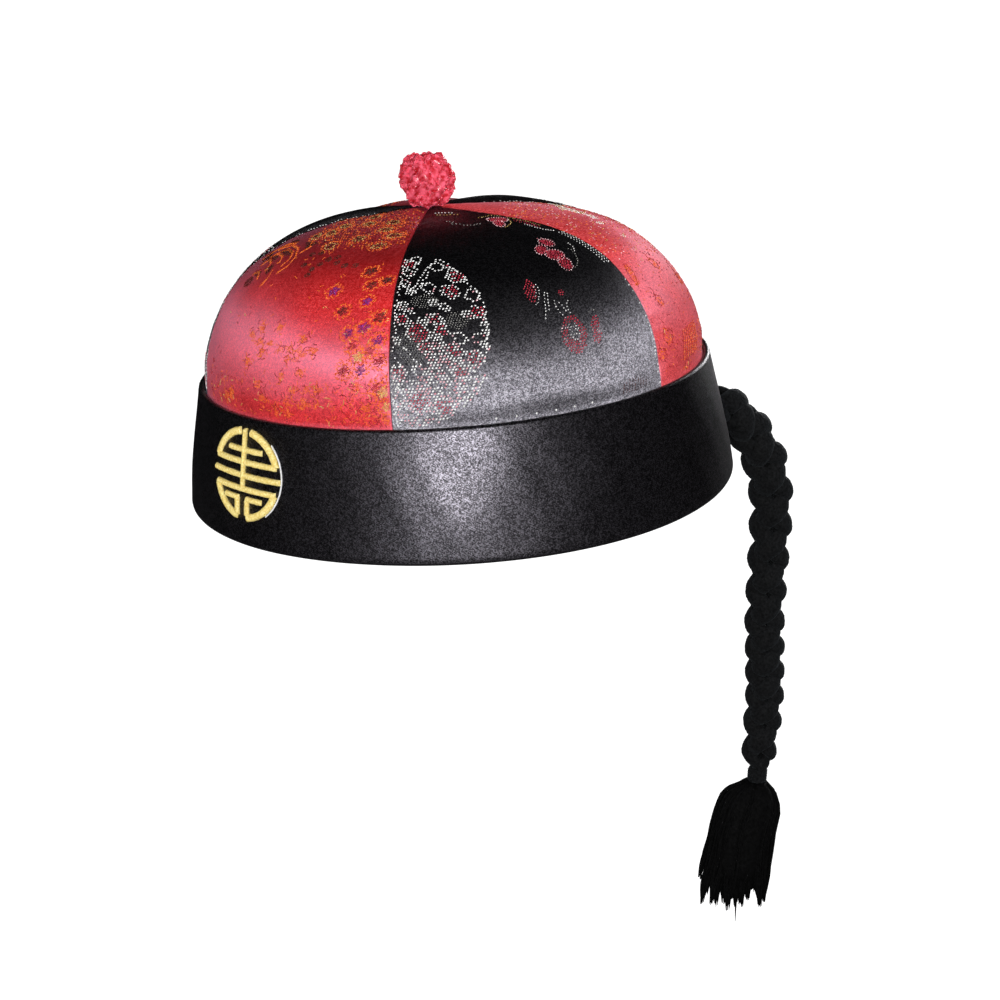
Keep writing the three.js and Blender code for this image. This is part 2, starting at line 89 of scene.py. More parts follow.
# Button
BUTTON = np.array([-2.9, -3.3, 104.1])
BUTTON_CORE = 7.6
BUTTON_CORD_RADIUS = 2.1
BUTTON_CORD_LIFT = 0.55
BUTTON_LEADS = 3
BUTTON_BIGHTS = 5
BUTTON_LATITUDE = math.radians(60)

# Braid, tie and tassel: distances out from the middle and up, in one upright plane
BRAID_AZIMUTH = math.radians(160)
BRAID_ROUTE = [
    (98.4, 7.2), (101.8, 7.6), (106.2, 6.2), (110.8, 3.2), (115.4, -1.4), (120.0, -7.8),
    (124.2, -16.2), (127.0, -26.0), (127.8, -38.0), (126.8, -52.0), (125.2, -68.0),
    (123.8, -84.0), (123.4, -100.0), (123.0, -116.0), (121.4, -131.0), (119.8, -142.0),
    (119.0, -149.5),
]
TASSEL_AXIS = [
    (118.3, -155.5), (117.3, -160.0), (113.4, -168.5), (109.6, -181.5), (107.2, -196.0),
    (106.2, -211.5),
]
# How far along the braid both of its edges bulge, where two strands cross on each side
PLAIT_BULGES = [-2, 12, 26, 40, 54, 68, 81.5, 95, 108, 119, 129.5, 140, 151, 164.5, 178]
# Turned so that two strands cross where the braid faces the camera
PLAIT_TURN = math.radians(21.2)
BRAID_TAPER = {0: 0.86, 0.06: 1.06, 0.25: 1.06, 0.5: 0.97, 0.9: 0.92, 0.96: 0.84, 1: 0.48}


# Shapes

def outward(azimuth):
    azimuth = np.asarray(azimuth, dtype=float)
    return np.stack([np.sin(azimuth), -np.cos(azimuth), np.zeros_like(azimuth)], axis=-1)


def unit(vectors):
    return vectors / np.maximum(np.linalg.norm(vectors, axis=-1, keepdims=True), 1e-9)


def lerp(a, b, t):
    return a + (b - a) * t


def smooth(t):
    t = np.clip(t, 0, 1)
    return t * t * (3 - 2 * t)


def table(rows, t):
    """A value from a table that gives it for some shares of the way."""
    return np.interp(t, list(rows), list(rows.values()))


def full_turn(count):
    """Even angles round a full turn."""
    return 2 * np.pi * np.arange(count) / count


def wheel(angle, first, second):
    """Directions turned by an angle from the first one towards the second."""
    return np.cos(angle)[..., None] * first + np.sin(angle)[..., None] * second


def polar(radius, angle):
    return np.stack([radius * np.cos(angle), radius * np.sin(angle)], axis=-1)


def beside(vectors, ahead):
    """Unit vectors across a direction, each on the side that a vector points to."""
    return unit(vectors - ahead * (vectors * ahead).sum(axis=-1, keepdims=True))


def distances(path):
    """How far along a path each of its points lies."""
    return np.concatenate([[0], np.cumsum(np.linalg.norm(np.diff(path, axis=0), axis=1))])


def at(wanted, gone, path):
    """Points at the wanted distances along a path."""
    return np.stack([np.interp(wanted, gone, column) for column in path.T], axis=-1)


def grid_faces(rows, columns, closed=False):
    """Quads over a grid of points. A closed grid joins its last column to its first."""
    spans = columns if closed else columns - 1
    row, column = np.meshgrid(np.arange(rows - 1), np.arange(spans), indexing="ij")
    a = row * columns + column
    b = row * columns + (column + 1) % columns
    return np.stack([a, b, b + columns, a + columns], axis=-1).reshape(-1, 4)


def loft(rings):
    """A closed body through rings of points, with one face over each end."""
    rows, sides = rings.shape[:2]
    ends = np.arange(sides)
    caps = np.stack([ends[::-1], (rows - 1) * sides + ends])
    return rings.reshape(-1, 3), [grid_faces(rows, sides, closed=True), caps]


def ring_solid(rings):
    """A ring-shaped body: closed sections in turn, and the last meets the first."""
    rows, sides = rings.shape[:2]
    faces = grid_faces(rows + 1, sides, closed=True) % (rows * sides)
    return rings.reshape(-1, 3), [faces]


def wall(outer, inner):
    """A closed wall between two sheets of points with the same rows and columns."""
    rows, columns = outer.shape[:2]
    edge = np.concatenate([
        np.arange(columns),
        np.arange(1, rows) * columns + columns - 1,
        (rows - 1) * columns + np.arange(columns - 1)[::-1],
        np.arange(1, rows - 1)[::-1] * columns,
    ])
    ahead = np.roll(edge, -1)
    front = grid_faces(rows, columns)
    under = rows * columns
    sides = np.stack([ahead, edge, edge + under, ahead + under], axis=-1)
    points = np.concatenate([outer.reshape(-1, 3), inner.reshape(-1, 3)])
    return points, [front, front[:, ::-1] + under, sides]


def threads(lines, radii, sides, across):
    """Closed round threads along many lines: lines has (count, rows, 3) points."""
    count, rows = lines.shape[:2]
    ahead = unit(np.gradient(lines, axis=1))
    side = beside(across, ahead)
    ring = wheel(full_turn(sides), side[:, :, None], np.cross(ahead, side)[:, :, None])
    points = lines[:, :, None] + np.broadcast_to(radii, (count, rows))[..., None, None] * ring
    start = np.arange(count)[:, None, None] * rows * sides
    quads = (grid_faces(rows, sides, closed=True)[None] + start).reshape(-1, 4)
    ends = np.arange(sides)
    caps = np.concatenate([ends[::-1] + start[:, 0], ends + (rows - 1) * sides + start[:, 0]])
    return points.reshape(-1, 3), [quads, caps]


def copies(points, shape):
    """Small bodies of one shape: points has (count, corners, 3), and shape is one body's faces."""
    count, corners = points.shape[:2]
    faces = np.array(shape) + np.arange(count)[:, None, None] * corners
    return points.reshape(-1, 3), [faces.reshape(-1, len(shape[0]))]


def pillows(ends, sides, top, bottom):
    """Closed eight-sided pillows between two end points, two side points and two heights."""
    points = np.stack([ends[1], sides[1], ends[0], sides[0], top, bottom], axis=1)
    return copies(points, [[0, 1, 4], [1, 2, 4], [2, 3, 4], [3, 0, 4],
                           [1, 0, 5], [2, 1, 5], [3, 2, 5], [0, 3, 5]])


def smooth_line(points, steps):
    """A centripetal Catmull-Rom curve at even steps of its length, and that length."""
    points = np.vstack([2 * points[0] - points[1], points, 2 * points[-1] - points[-2]])
    t = np.linspace(0, 1, 60, endpoint=False)[:, None]
    fine = []
    for p0, p1, p2, p3 in zip(points, points[1:], points[2:], points[3:]):
        d0, d1, d2 = [math.sqrt(np.linalg.norm(b - a)) for a, b in ((p0, p1), (p1, p2), (p2, p3))]
        leave = ((p1 - p0) / d0 - (p2 - p0) / (d0 + d1) + (p2 - p1) / d1) * d1
        reach = ((p2 - p1) / d1 - (p3 - p1) / (d1 + d2) + (p3 - p2) / d2) * d1
        fine.append((2 * t**3 - 3 * t**2 + 1) * p1 + (t**3 - 2 * t**2 + t) * leave
                    + (3 * t**2 - 2 * t**3) * p2 + (t**3 - t**2) * reach)
    fine = np.concatenate(fine + [points[-2][None]])
    gone = distances(fine)
    return at(np.linspace(0, gone[-1], steps + 1), gone, fine), gone[-1]


def add_object(name, data):
    item = bpy.data.objects.new(name, data)
    bpy.context.scene.collection.objects.link(item)
    return item


# The stretch of cloth that one unit of the weave map covers
WEAVE_REPEAT = 100


def make_piece(name, parts, material, cloth=None, girth=None, curve=0.0):
    """A piece from parts of (points, lists of faces).

    Cloth gives each point's place on its cloth, and girth is how far round a band of cloth goes.
    Curve is how far the weave bends up towards the cloth's starting edge.
    """
    points, corners, sizes, offset = [], [], [], 0
    for some_points, face_lists in parts:
        for faces in face_lists:
            corners.append((faces + offset).ravel())
            sizes.append(np.full(len(faces), faces.shape[1]))
        points.append(some_points)
        offset += len(some_points)
    points, corners, sizes = [np.concatenate(some) for some in (points, corners, sizes)]
    mesh = bpy.data.meshes.new(name)
    mesh.vertices.add(len(points))
    mesh.vertices.foreach_set("co", (points * MM).ravel())
    mesh.loops.add(len(corners))
    mesh.loops.foreach_set("vertex_index", corners)
    mesh.polygons.add(len(sizes))
    mesh.polygons.foreach_set("loop_start", np.cumsum(sizes) - sizes)
    mesh.polygons.foreach_set("use_smooth", np.ones(len(sizes), dtype=bool))
    mesh.update(calc_edges=True)
    mesh.validate()
    if cloth is not None:
        spots = cloth[corners]
        if girth:
            across = spots[:, 0].reshape(-1, 4)
            across += girth * (across.max(axis=1, keepdims=True) - across > girth / 2)
        place = mesh.attributes.new("cloth", "FLOAT_VECTOR", "CORNER")
        place.data.foreach_set("vector", (spots * MM).ravel())
        bent = spots[:, :2].copy()
        bent[:, 1] += curve * np.minimum(spots[:, 0] - cloth[:, 0].mean(), 0) ** 2
        weave = mesh.uv_layers.new(name="weave")
        weave.data.foreach_set("uv", (bent / WEAVE_REPEAT).ravel())
    mesh.materials.append(material)
    piece = add_object(name, mesh)
    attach(piece, "root")
    return piece


# Camera

CAMERA_AZIMUTH = math.radians(48.8)
CAMERA_ELEVATION = math.radians(17.16)
CAMERA_DISTANCE = 623.1
# How far the point that the camera looks at lies to the right of the origin and above it
AIM_RIGHT = 12.5
AIM_UP = -11.4
CAMERA_ROLL = math.radians(-4.07)
FOCAL_PIXELS = 1741.9
IMAGE_PIXELS = 1000
SENSOR = 36


def camera_axes(back):
    """The camera's right and up, from the way back from what it looks at."""
    right = Vector((0, 0, 1)).cross(back).normalized()
    return right, back.cross(right)


def make_camera():
    back = math.cos(CAMERA_ELEVATION) * outward(CAMERA_AZIMUTH)
    back = Vector(back) + Vector((0, 0, math.sin(CAMERA_ELEVATION)))
    right, up = camera_axes(back)
    place = back * CAMERA_DISTANCE
    back = (place - (right * AIM_RIGHT + up * AIM_UP)).normalized()
    right, up = camera_axes(back)
    cos, sin = math.cos(CAMERA_ROLL), math.sin(CAMERA_ROLL)
    right, up = right * cos + up * sin, up * cos - right * sin
    data = bpy.data.cameras.new("camera")
    data.sensor_width = SENSOR
    data.lens = FOCAL_PIXELS * SENSOR / IMAGE_PIXELS
    data.clip_start = 0.01
    camera = add_object("camera", data)
    camera.matrix_world = Matrix((right, up, back)).transposed().to_4x4()
    camera.location = place * MM
    bpy.context.scene.camera = camera


make_camera()


# Materials

class Nodes:
    """Short calls to add nodes to a material."""

    def __init__(self, name):
        self.material = bpy.data.materials.new(name)
        self.material.use_nodes = True
        self.tree = self.material.node_tree
        self.shader = self.tree.nodes["Principled BSDF"]

    def feed(self, node, inputs):
        """Give sockets of a node a value each, or link them to another node's output."""
        for socket, value in inputs.items():
            if isinstance(value, bpy.types.NodeSocket):
                self.tree.links.new(value, node.inputs[socket])
            else:
                node.inputs[socket].default_value = value

    def add(self, kind, inputs=None, **settings):
        node = self.tree.nodes.new(kind)
        for key, value in settings.items():
            setattr(node, key, value)
        self.feed(node, inputs or {})
        return node

    def math(self, operation, *values):
        return self.add("ShaderNodeMath", dict(enumerate(values)), operation=operation).outputs[0]

    def noise(self, vector, scale, detail, roughness=0.5):
        inputs = {"Vector": vector, "Scale": scale, "Detail": detail, "Roughness": roughness}
        return self.add("ShaderNodeTexNoise", inputs).outputs["Fac"]

    def cells(self, vector, scale):
        node = self.add("ShaderNodeTexVoronoi", {"Vector": vector, "Scale": scale, "Randomness": 0.8})
        return self.add("ShaderNodeSeparateColor", {0: node.outputs["Color"]}).outputs[0]

    def ramp(self, value, *stops):
        node = self.add("ShaderNodeValToRGB", {"Fac": value})
        elements = node.color_ramp.elements
        while len(elements) < len(stops):
            elements.new(0.5)
        for element, (position, colour) in zip(elements, stops):
            element.position = position
            element.color = (*colour, 1)
        return node.outputs["Color"]

    def fit(self, *values):
        """A value moved between ranges: value, low, high, new low and new high."""
        return self.add("ShaderNodeMapRange", dict(enumerate(values))).outputs[0]

    def bump(self, height, strength, distance, normal=None):
        inputs = {"Height": height, "Strength": strength, "Distance": distance}
        if normal is not None:
            inputs["Normal"] = normal
        return self.add("ShaderNodeBump", inputs).outputs["Normal"]

    def set(self, **values):
        self.feed(self.shader, {key.replace("_", " "): value for key, value in values.items()})
        return self.material


def position(nodes):
    return nodes.add("ShaderNodeTexCoord").outputs["Object"]


TWILL_SLOPE = 0.6
# Where the smoother part of the sixth gore's cloth fades out across, and where it starts upwards
SMOOTHER_ACROSS = (473, 496)
SMOOTHER_UP = (29, 40)


def satin(name, dark, base, glint, tint, roughness, anisotropy, metallic, ior=1.5, twill_pitch=0.62,
          painted_top_shade=(22, 45, 1.0), puffs=(), bloom=0.0, smoother=0.0):
    """Satin cloth: fine slanting weave, grain in its gloss, and a highlight drawn out level.

    Its colour is darkened as painted shade high up the cloth, where the crown gets little light:
    three numbers give from where to where up the cloth it grows, and the share it ends at. Each
    puff says from where to where the padding swells, and by how much. Bloom is the weight of its sheen.
    Smoother is how much less rough the cloth gets high up, towards its starting edge.
    """
    nodes = Nodes(name)

    def stretch(value, limits, start, end):
        return nodes.fit(value, limits[0] * MM, limits[1] * MM, start, end)

    cloth = nodes.add("ShaderNodeAttribute", attribute_name="cloth").outputs["Vector"]
    across, up = nodes.add("ShaderNodeSeparateXYZ", {0: cloth}).outputs[:2]
    slant = nodes.math("ADD", nodes.math("MULTIPLY", across, TWILL_SLOPE), up)
    weave = nodes.math("SINE", nodes.math("MULTIPLY", slant, 2 * math.pi / (twill_pitch * MM)))
    coarse = nodes.noise(cloth, 900, 2.0, 0.6)
    fine = nodes.math("ADD", nodes.math("MULTIPLY", weave, 0.08), nodes.cells(cloth, 2900))
    colour = nodes.ramp(fine, (0.0, dark), (0.5, base), (1.0, glint))
    # Tone that differs at random, times painted shade that darkens the colour high up the cloth
    shade = nodes.math("MULTIPLY", nodes.fit(nodes.noise(cloth, 60, 3.0), 0.3, 0.7, 0.85, 1.1),
                       stretch(up, painted_top_shade, 1.0, painted_top_shade[2]))
    scaled = nodes.add("ShaderNodeVectorMath", {0: colour, "Scale": shade}, operation="SCALE")
    edge = nodes.math("MULTIPLY", stretch(across, SMOOTHER_ACROSS, smoother, 0.0),
                      stretch(up, SMOOTHER_UP, 0.0, 1.0))
    rough = nodes.fit(coarse, 0.3, 0.7, roughness - 0.05, roughness + 0.05)
    normal = nodes.bump(coarse, 0.15, 0.0003, nodes.bump(fine, 0.2, 0.00012))
    for low, high, swell in puffs:
        swelling = stretch(up, (low, high), 0.0, swell * MM)
        swelling.node.interpolation_type = "SMOOTHSTEP"
        normal = nodes.bump(swelling, 1.0, 1.0, normal)
    tangent = nodes.add("ShaderNodeTangent", direction_type="UV_MAP", uv_map="weave").outputs[0]
    nodes.set(Base_Color=scaled.outputs[0], Roughness=nodes.math("SUBTRACT", rough, edge),
              Normal=normal, Tangent=tangent)
    return nodes.set(Anisotropic=anisotropy, Metallic=metallic, Specular_IOR_Level=1.0, IOR=ior,
                     Specular_Tint=(*tint, 1), Sheen_Weight=bloom, Sheen_Roughness=0.35,
                     Sheen_Tint=(*tint, 1))


def thread(name, dark, light, roughness=0.35, metallic=0.0, scale=1500):
    """Shiny embroidery or brocade thread, with its colour varying from stitch to stitch."""
    nodes = Nodes(name)
    spot = position(nodes)
    colour = nodes.ramp(nodes.noise(spot, scale, 1.0), (0.35, dark), (0.65, light))
    normal = nodes.bump(nodes.noise(spot, 4000, 1.0), 0.4, 0.0001)
    rough = nodes.fit(nodes.noise(spot, 700, 2.0), 0.3, 0.7, roughness - 0.08, roughness + 0.1)
    return nodes.set(Base_Color=colour, Roughness=rough, Normal=normal, Metallic=metallic)


def yarn(name, dark, light, sheen, sheen_weight, scale, gloss):
    """Soft pile or yarn: painted shade darkens it far in between strands, and a faint bloom shows where
    it turns away.
    """
    nodes = Nodes(name)
    pile = nodes.noise(position(nodes), scale, 3.0, 0.7)
    # Painted shade: the colour darkens where the attribute marks the crevices between strands
    hollow_shade = nodes.add("ShaderNodeAttribute", attribute_name="hollow_shade").outputs["Fac"]
    shown = nodes.math("SUBTRACT", pile, nodes.math("MULTIPLY", hollow_shade, 0.6))
    nodes.set(Base_Color=nodes.ramp(shown, (0.3, dark), (0.75, light)),
              Roughness=nodes.fit(pile, 0.2, 0.8, 0.95, 0.7), Normal=nodes.bump(pile, 0.8, 0.0006))
    return nodes.set(Sheen_Weight=sheen_weight, Sheen_Roughness=0.5, Specular_IOR_Level=gloss,
                     Sheen_Tint=(*sheen, 1))


# Painted shade darkens the red satin's colour high up the cloth
RED_SATIN = satin("red_satin", (0.46, 0.008, 0.008), (0.70, 0.020, 0.020), (0.98, 0.070, 0.075),
                  (1.0, 0.55, 0.8), 0.52, 0.95, 0.0, ior=1.85, painted_top_shade=(40, 58, 0.4),
                  puffs=[(0, 66, 10.5)], bloom=0.05, smoother=0.2)
# A paler copy of the red satin, with less painted top shade, for the second gore: its paler colour is
# painted light, for the light that gore catches
SIDE_SATIN_PAINTED_LIGHT = satin("side_satin_painted_light", (0.46, 0.016, 0.016), (0.72, 0.050, 0.050), (0.98, 0.13, 0.14),
                   (1.0, 0.6, 0.8), 0.52, 0.97, 0.0, ior=1.85, painted_top_shade=(40, 58, 0.9),
                   puffs=[(0, 66, 10.5)], bloom=0.12)
# Painted shade darkens the black satin's colour, and so its gloss, high up the cloth
BLACK_SATIN = satin("black_satin", (0.09, 0.086, 0.10), (0.25, 0.24, 0.27), (0.58, 0.56, 0.62),
                    (1.0, 1.0, 1.0), 0.69, 0.92, 0.97, painted_top_shade=(22, 45, 0.3), puffs=[(-6, 14, -1.2)])
BAND_SATIN = satin("band_satin", (0.014, 0.013, 0.015), (0.055, 0.052, 0.059), (0.17, 0.16, 0.185),
                   (1.0, 1.0, 1.0), 0.42, 0.15, 0.97, twill_pitch=0.7)
BADGE_GOLD = thread("badge_gold", (0.84, 0.62, 0.16), (1.0, 0.85, 0.36), 0.3, scale=1600)
SEAM_THREAD = thread("seam_thread", (0.01, 0.01, 0.01), (0.10, 0.10, 0.10), 0.4)
BUTTON_CORD = thread("button_cord", (0.52, 0.016, 0.026), (0.97, 0.14, 0.22), 0.26, scale=600)
# The brocade's threads: dark and light colour, and how rough and metallic where that is unusual
THREADS = {name: thread(f"{name}_thread", *look) for name, look in {
    "gold": ((0.55, 0.33, 0.06), (0.95, 0.74, 0.28), 0.38, 0.35),
    "silver": ((0.92, 0.91, 0.88), (1.0, 1.0, 1.0)),
    "grey": ((0.16, 0.16, 0.15), (0.50, 0.49, 0.45)),
    "pink": ((0.70, 0.22, 0.26), (1.0, 0.72, 0.76)),
    "rose": ((0.30, 0.008, 0.02), (0.62, 0.05, 0.09), 0.4),
    "orange": ((0.72, 0.07, 0.012), (0.94, 0.24, 0.035), 0.5),
    "crimson": ((0.22, 0.006, 0.008), (0.48, 0.02, 0.02), 0.55),
    "violet": ((0.06, 0.006, 0.05), (0.25, 0.02, 0.28), 0.4),
    "dark": ((0.01, 0.006, 0.004), (0.10, 0.02, 0.012), 0.5),
}.items()}
PLUSH = yarn("black_plush", (0.0003, 0.0003, 0.0003), (0.012, 0.0125, 0.0135),
             (0.8, 0.9, 1.0), 0.04, 1000, 0.16)
YARN = yarn("black_yarn", (0.0005, 0.0005, 0.0005), (0.004, 0.004, 0.0042),
            (0.6, 0.65, 0.7), 0.0, 700, 0.12)


# Braid, tie and tassel: they come first after the camera

SIDE = outward(BRAID_AZIMUTH + math.pi / 2)


def in_plane(rows):
    rows = np.asarray(rows, dtype=float)
    return rows[:, :1] * outward(BRAID_AZIMUTH) + rows[:, 1:] * np.array([0.0, 0.0, 1.0])


def around(line, angle, radius):
    """Points at an angle and distance round a line, measured from the plane's side."""
    rise = unit(np.cross(unit(np.gradient(line, axis=-2)), SIDE))
    return line + radius[..., None] * wheel(angle, SIDE, rise)


def lumps(points, size, seed):
    """A smooth noise from crossing waves, from about -1 to 1."""
    turns = np.random.default_rng(seed)
    total = np.zeros(points.shape[:-1])
    for _ in range(7):
        heading = unit(turns.normal(size=3))
        total += np.sin(points @ heading * (2 * np.pi / size) * turns.uniform(0.7, 1.5)
                        + turns.uniform(0, 2 * np.pi))
    return total / 3.2


STRAND_ROWS = 430
STRAND_SIDES = 22
STRAND_HALF_WIDTH = 4.2
STRAND_HALF_THICKNESS = 2.9
STRAND_CENTRE = 4.3
STRAND_LIFT = 1.35
# Painted shade darkens a strand's colour below this distance from the braid's middle, far in between
# the strands, and fades out further on
HOLLOW_SHADE_DEPTH = 4.6
HOLLOW_SHADE_FADE = 1.6
BRAID_CORE = 3.2


def strand(way, start):
    """One plush strand, winding round the braid's line and over and under the others.

    It gives rings of points, the way out of the strand there, and how much painted shade they get for
    lying far in between the strands.
    """
    line, length = smooth_line(in_plane(BRAID_ROUTE), STRAND_ROWS)
    share = np.linspace(0, 1, STRAND_ROWS + 1)
    size = table(BRAID_TAPER, share)
    crossings = np.interp(share * length, PLAIT_BULGES, np.arange(len(PLAIT_BULGES)))
    wound = way * np.pi * (crossings + 0.5) + start
    lift = STRAND_LIFT * lerp(0.5, 1, smooth(share / 0.25))
    centre = STRAND_CENTRE + way * lift * np.cos(2 * wound)
    path = around(line, wound + PLAIT_TURN, size * centre)
    ahead = unit(np.gradient(path, axis=0))
    away = beside(unit(path - line), ahead)
    level = np.cross(ahead, away)
    turn = full_turn(STRAND_SIDES)
    across = size[:, None] * STRAND_HALF_WIDTH * np.cos(turn)
    out = size[:, None] * STRAND_HALF_THICKNESS * np.sin(turn)
    rings = path[:, None] + across[..., None] * level[:, None] + out[..., None] * away[:, None]
    heading = unit(rings - path[:, None])
    rings = rings + heading * (0.08 * lumps(rings, 1.5, 3) + 0.1 * lumps(rings, 5.0, 5))[..., None]
    depth = np.linalg.norm(rings - line[:, None], axis=-1) / size[:, None]
    return rings, heading, 1 - smooth((depth - HOLLOW_SHADE_DEPTH) / HOLLOW_SHADE_FADE)


def fuzz(rings, heading, count, length, width):
    """Short fibres that stand off a surface given as rings of points and headings."""
    row = rng.integers(1, rings.shape[0] - 1, count)
    column = rng.integers(0, rings.shape[1], count)
    root = rings[row, column] - 0.1 * heading[row, column]
    lean = unit(heading[row, column] + 0.7 * rng.normal(size=(count, 3)))
    tip = root + lean * length * rng.uniform(0.5, 1.0, (count, 1))
    side = unit(np.cross(lean, rng.normal(size=(count, 3))))
    foot = wheel(full_turn(3), side[:, None], np.cross(lean, side)[:, None])
    points = np.concatenate([root[:, None] + width * foot, tip[:, None]], axis=1)
    return copies(points, [[0, 1, 3], [1, 2, 3], [2, 0, 3], [2, 1, 0]])


def make_braid():
    parts, fibres, hollow_shades = [], [], []
    for way in (1, -1):
        for start in (0, math.pi):
            rings, heading, hollow_shade = strand(way, start)
            parts.append(loft(rings))
            hollow_shades.append(hollow_shade.ravel())
            fibres.append(fuzz(rings, heading, count=1500, length=0.9, width=0.05))
    # Yarn fills the middle, so nothing shows through between the strands, and painted shade darkens it
    # fully
    line, _ = smooth_line(in_plane(BRAID_ROUTE), 120)
    girth = BRAID_CORE * table(BRAID_TAPER, np.linspace(0, 1, 121))
    parts.append(threads(line[None], girth, 12, SIDE))
    # Painted shade: full on the middle yarn, none on the fibres
    hollow_shades.append(np.ones(len(parts[-1][0])))
    hollow_shades.append(np.zeros(sum(len(points) for points, _ in fibres)))
    piece = make_piece("braid_strands", parts + fibres, PLUSH)
    hollow_shade = piece.data.attributes.new("hollow_shade", "FLOAT", "POINT")
    hollow_shade.data.foreach_set("value", np.concatenate(hollow_shades))
    return piece


TIE_TURNS = 6
TIE_ROWS = 160
TIE_RADIUS = 3.5
TIE_YARN_RADIUS = 0.5
TIE_CORE = 3.6
TIE_CORE_RINGS = (8, 20)


def make_tie():
    """Yarn wound round the braid's end."""
    start, end = in_plane([BRAID_ROUTE[-1], TASSEL_AXIS[0]])
    axis = unit(end - start)
    share = np.linspace(0, 1, TIE_ROWS + 1)
    line = start + axis * (0.55 + share * 4.6)[:, None]
    coil = line + TIE_RADIUS * wheel(2 * np.pi * TIE_TURNS * share, SIDE, np.cross(axis, SIDE))
    wrap = threads(coil[None], TIE_YARN_RADIUS, 8, axis)
    rows, sides = TIE_CORE_RINGS
    line = start + axis * np.linspace(0.2, 5.6, rows)[:, None]
    core = threads(line[None], TIE_CORE, sides, SIDE)
    rings = core[0].reshape(rows, sides, 3)
    fibres = fuzz(rings, unit(rings - line[:, None]), count=300, length=1.3, width=0.06)
    return make_piece("tie_yarn", [core, wrap, fibres], PLUSH)


TASSEL_ROWS = 18
TASSEL_SPREAD = {0: 0.34, 0.03: 0.52, 0.08: 0.74, 0.17: 0.92, 0.36: 0.97, 0.7: 1.0, 1: 1.04}
TASSEL_RADIUS = 13.6
TASSEL_LOCKS = 38
LOCK_THREADS = 18
LOCK_WIDTH = 2.3
THREAD_RADIUS = 0.46
GOLDEN_ANGLE = math.pi * (3 - math.sqrt(5))
TASSEL_CORE = 12.2
# Locks on the side that hangs inwards, which flare more and end higher
INNER_LOCKS = -6.5
# How much further than the tassel's last stretch the one low wisp reaches
WISP_REACH = 0.4


def make_tassel():
    """Threads that spread from the neck and part into ragged locks at their ends."""
    line, _ = smooth_line(in_plane(TASSEL_AXIS), 60)
    steps = np.arange(len(line))
    count = TASSEL_LOCKS * LOCK_THREADS
    number = np.arange(TASSEL_LOCKS)
    radius = (TASSEL_RADIUS - 1.2) * np.sqrt((number + 0.5) / TASSEL_LOCKS)
    lock = polar(radius, GOLDEN_ANGLE * number)
    reach = rng.uniform(0.82, 1.0, TASSEL_LOCKS)
    flare = lock / TASSEL_RADIUS * rng.uniform(-0.4, 3.4, (TASSEL_LOCKS, 1))
    inner = lock[:, 1] < INNER_LOCKS
    flare[inner] = 1.7 * flare[inner] + 0.5 * lock[inner] / TASSEL_RADIUS
    reach[inner] *= 0.94
    lock, reach, flare = [np.repeat(some, LOCK_THREADS, axis=0) for some in (lock, reach, flare)]
    angle = rng.uniform(0, 2 * np.pi, count)
    spot = polar(LOCK_WIDTH * np.sqrt(rng.uniform(0, 1, count)), angle)
    share = np.linspace(0, 1, TASSEL_ROWS)
    along = share * (reach * rng.uniform(0.93, 1.0, count))[:, None]
    axis = at(along * steps[-1], steps, line)
    gather = 1 - 0.72 * smooth((share - 0.72) / 0.28)
    wave = rng.uniform(0, 2 * np.pi, (count, 1, 2))
    wobble = 0.3 * smooth(share * 2)[:, None] * np.sin(9 * share[:, None] + wave)
    drift = smooth((share - 0.6) / 0.4)[:, None] * flare[:, None]
    flat = (lock[:, None] + gather[:, None] * spot[:, None]) * table(TASSEL_SPREAD, along)[..., None]
    flat = flat + wobble + drift
    rise = unit(np.cross(unit(np.gradient(axis, axis=1)), SIDE))
    lines = axis + flat[..., :1] * SIDE + flat[..., 1:] * rise
    taper = np.minimum(1, 0.55 + 3 * share) * (1 - 0.7 * smooth((share - 0.88) / 0.12))
    parts = [threads(lines, THREAD_RADIUS * taper, 4, SIDE)]
    above, end = in_plane(TASSEL_AXIS[-2:])
    wisp = lerp(above, end + WISP_REACH * (end - above), np.linspace(0, 1, 12)[:, None])
    parts.append(threads((wisp + [0.3, 0.3, 0.0])[None], np.linspace(0.9, 0.12, 12), 6, SIDE))
    share = np.linspace(0.0, 0.8, 20)
    radius = TASSEL_CORE * table(TASSEL_SPREAD, share) * (1 - 0.35 * smooth((share - 0.6) / 0.2))
    parts.append(threads(at(share * steps[-1], steps, line)[None], radius, 24, SIDE))
    return make_piece("tassel_locks", parts, YARN)


braid_strands = make_braid()
tie_yarn = make_tie()
tassel_locks = make_tassel()
braid_points = smooth_line(in_plane(BRAID_ROUTE), 40)
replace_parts(braid_strands, "braid")
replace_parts(tie_yarn, "braid_tie")
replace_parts(tassel_locks, "tassel")


# Band

def band_radius(z):
    t = z / BAND_HEIGHT
    return lerp(RIM_RADIUS, BAND_TOP_RADIUS, t) + BAND_BELLY * np.sin(np.pi * np.clip(t, 0, 1))


def sag(azimuth, z):
    share = np.maximum(0, np.cos(azimuth - RIM_SAG_AZIMUTH)) ** 2 * (1 - z / BAND_HEIGHT)
    return RIM_SAG * share


BAND_SIDES = 360
BAND_JOIN = math.radians(178)
BAND_ROWS = 26
FOLD_ROWS = 8
# Waves of the hand-sewn cloth: height, how many go round, slant and phase
BAND_WAVES = [(0.16, 9, 0.09, 0), (0.12, 17, -0.13, 1), (0.07, 43, 0.2, 2)]
BAND_TUCKS = 0.14


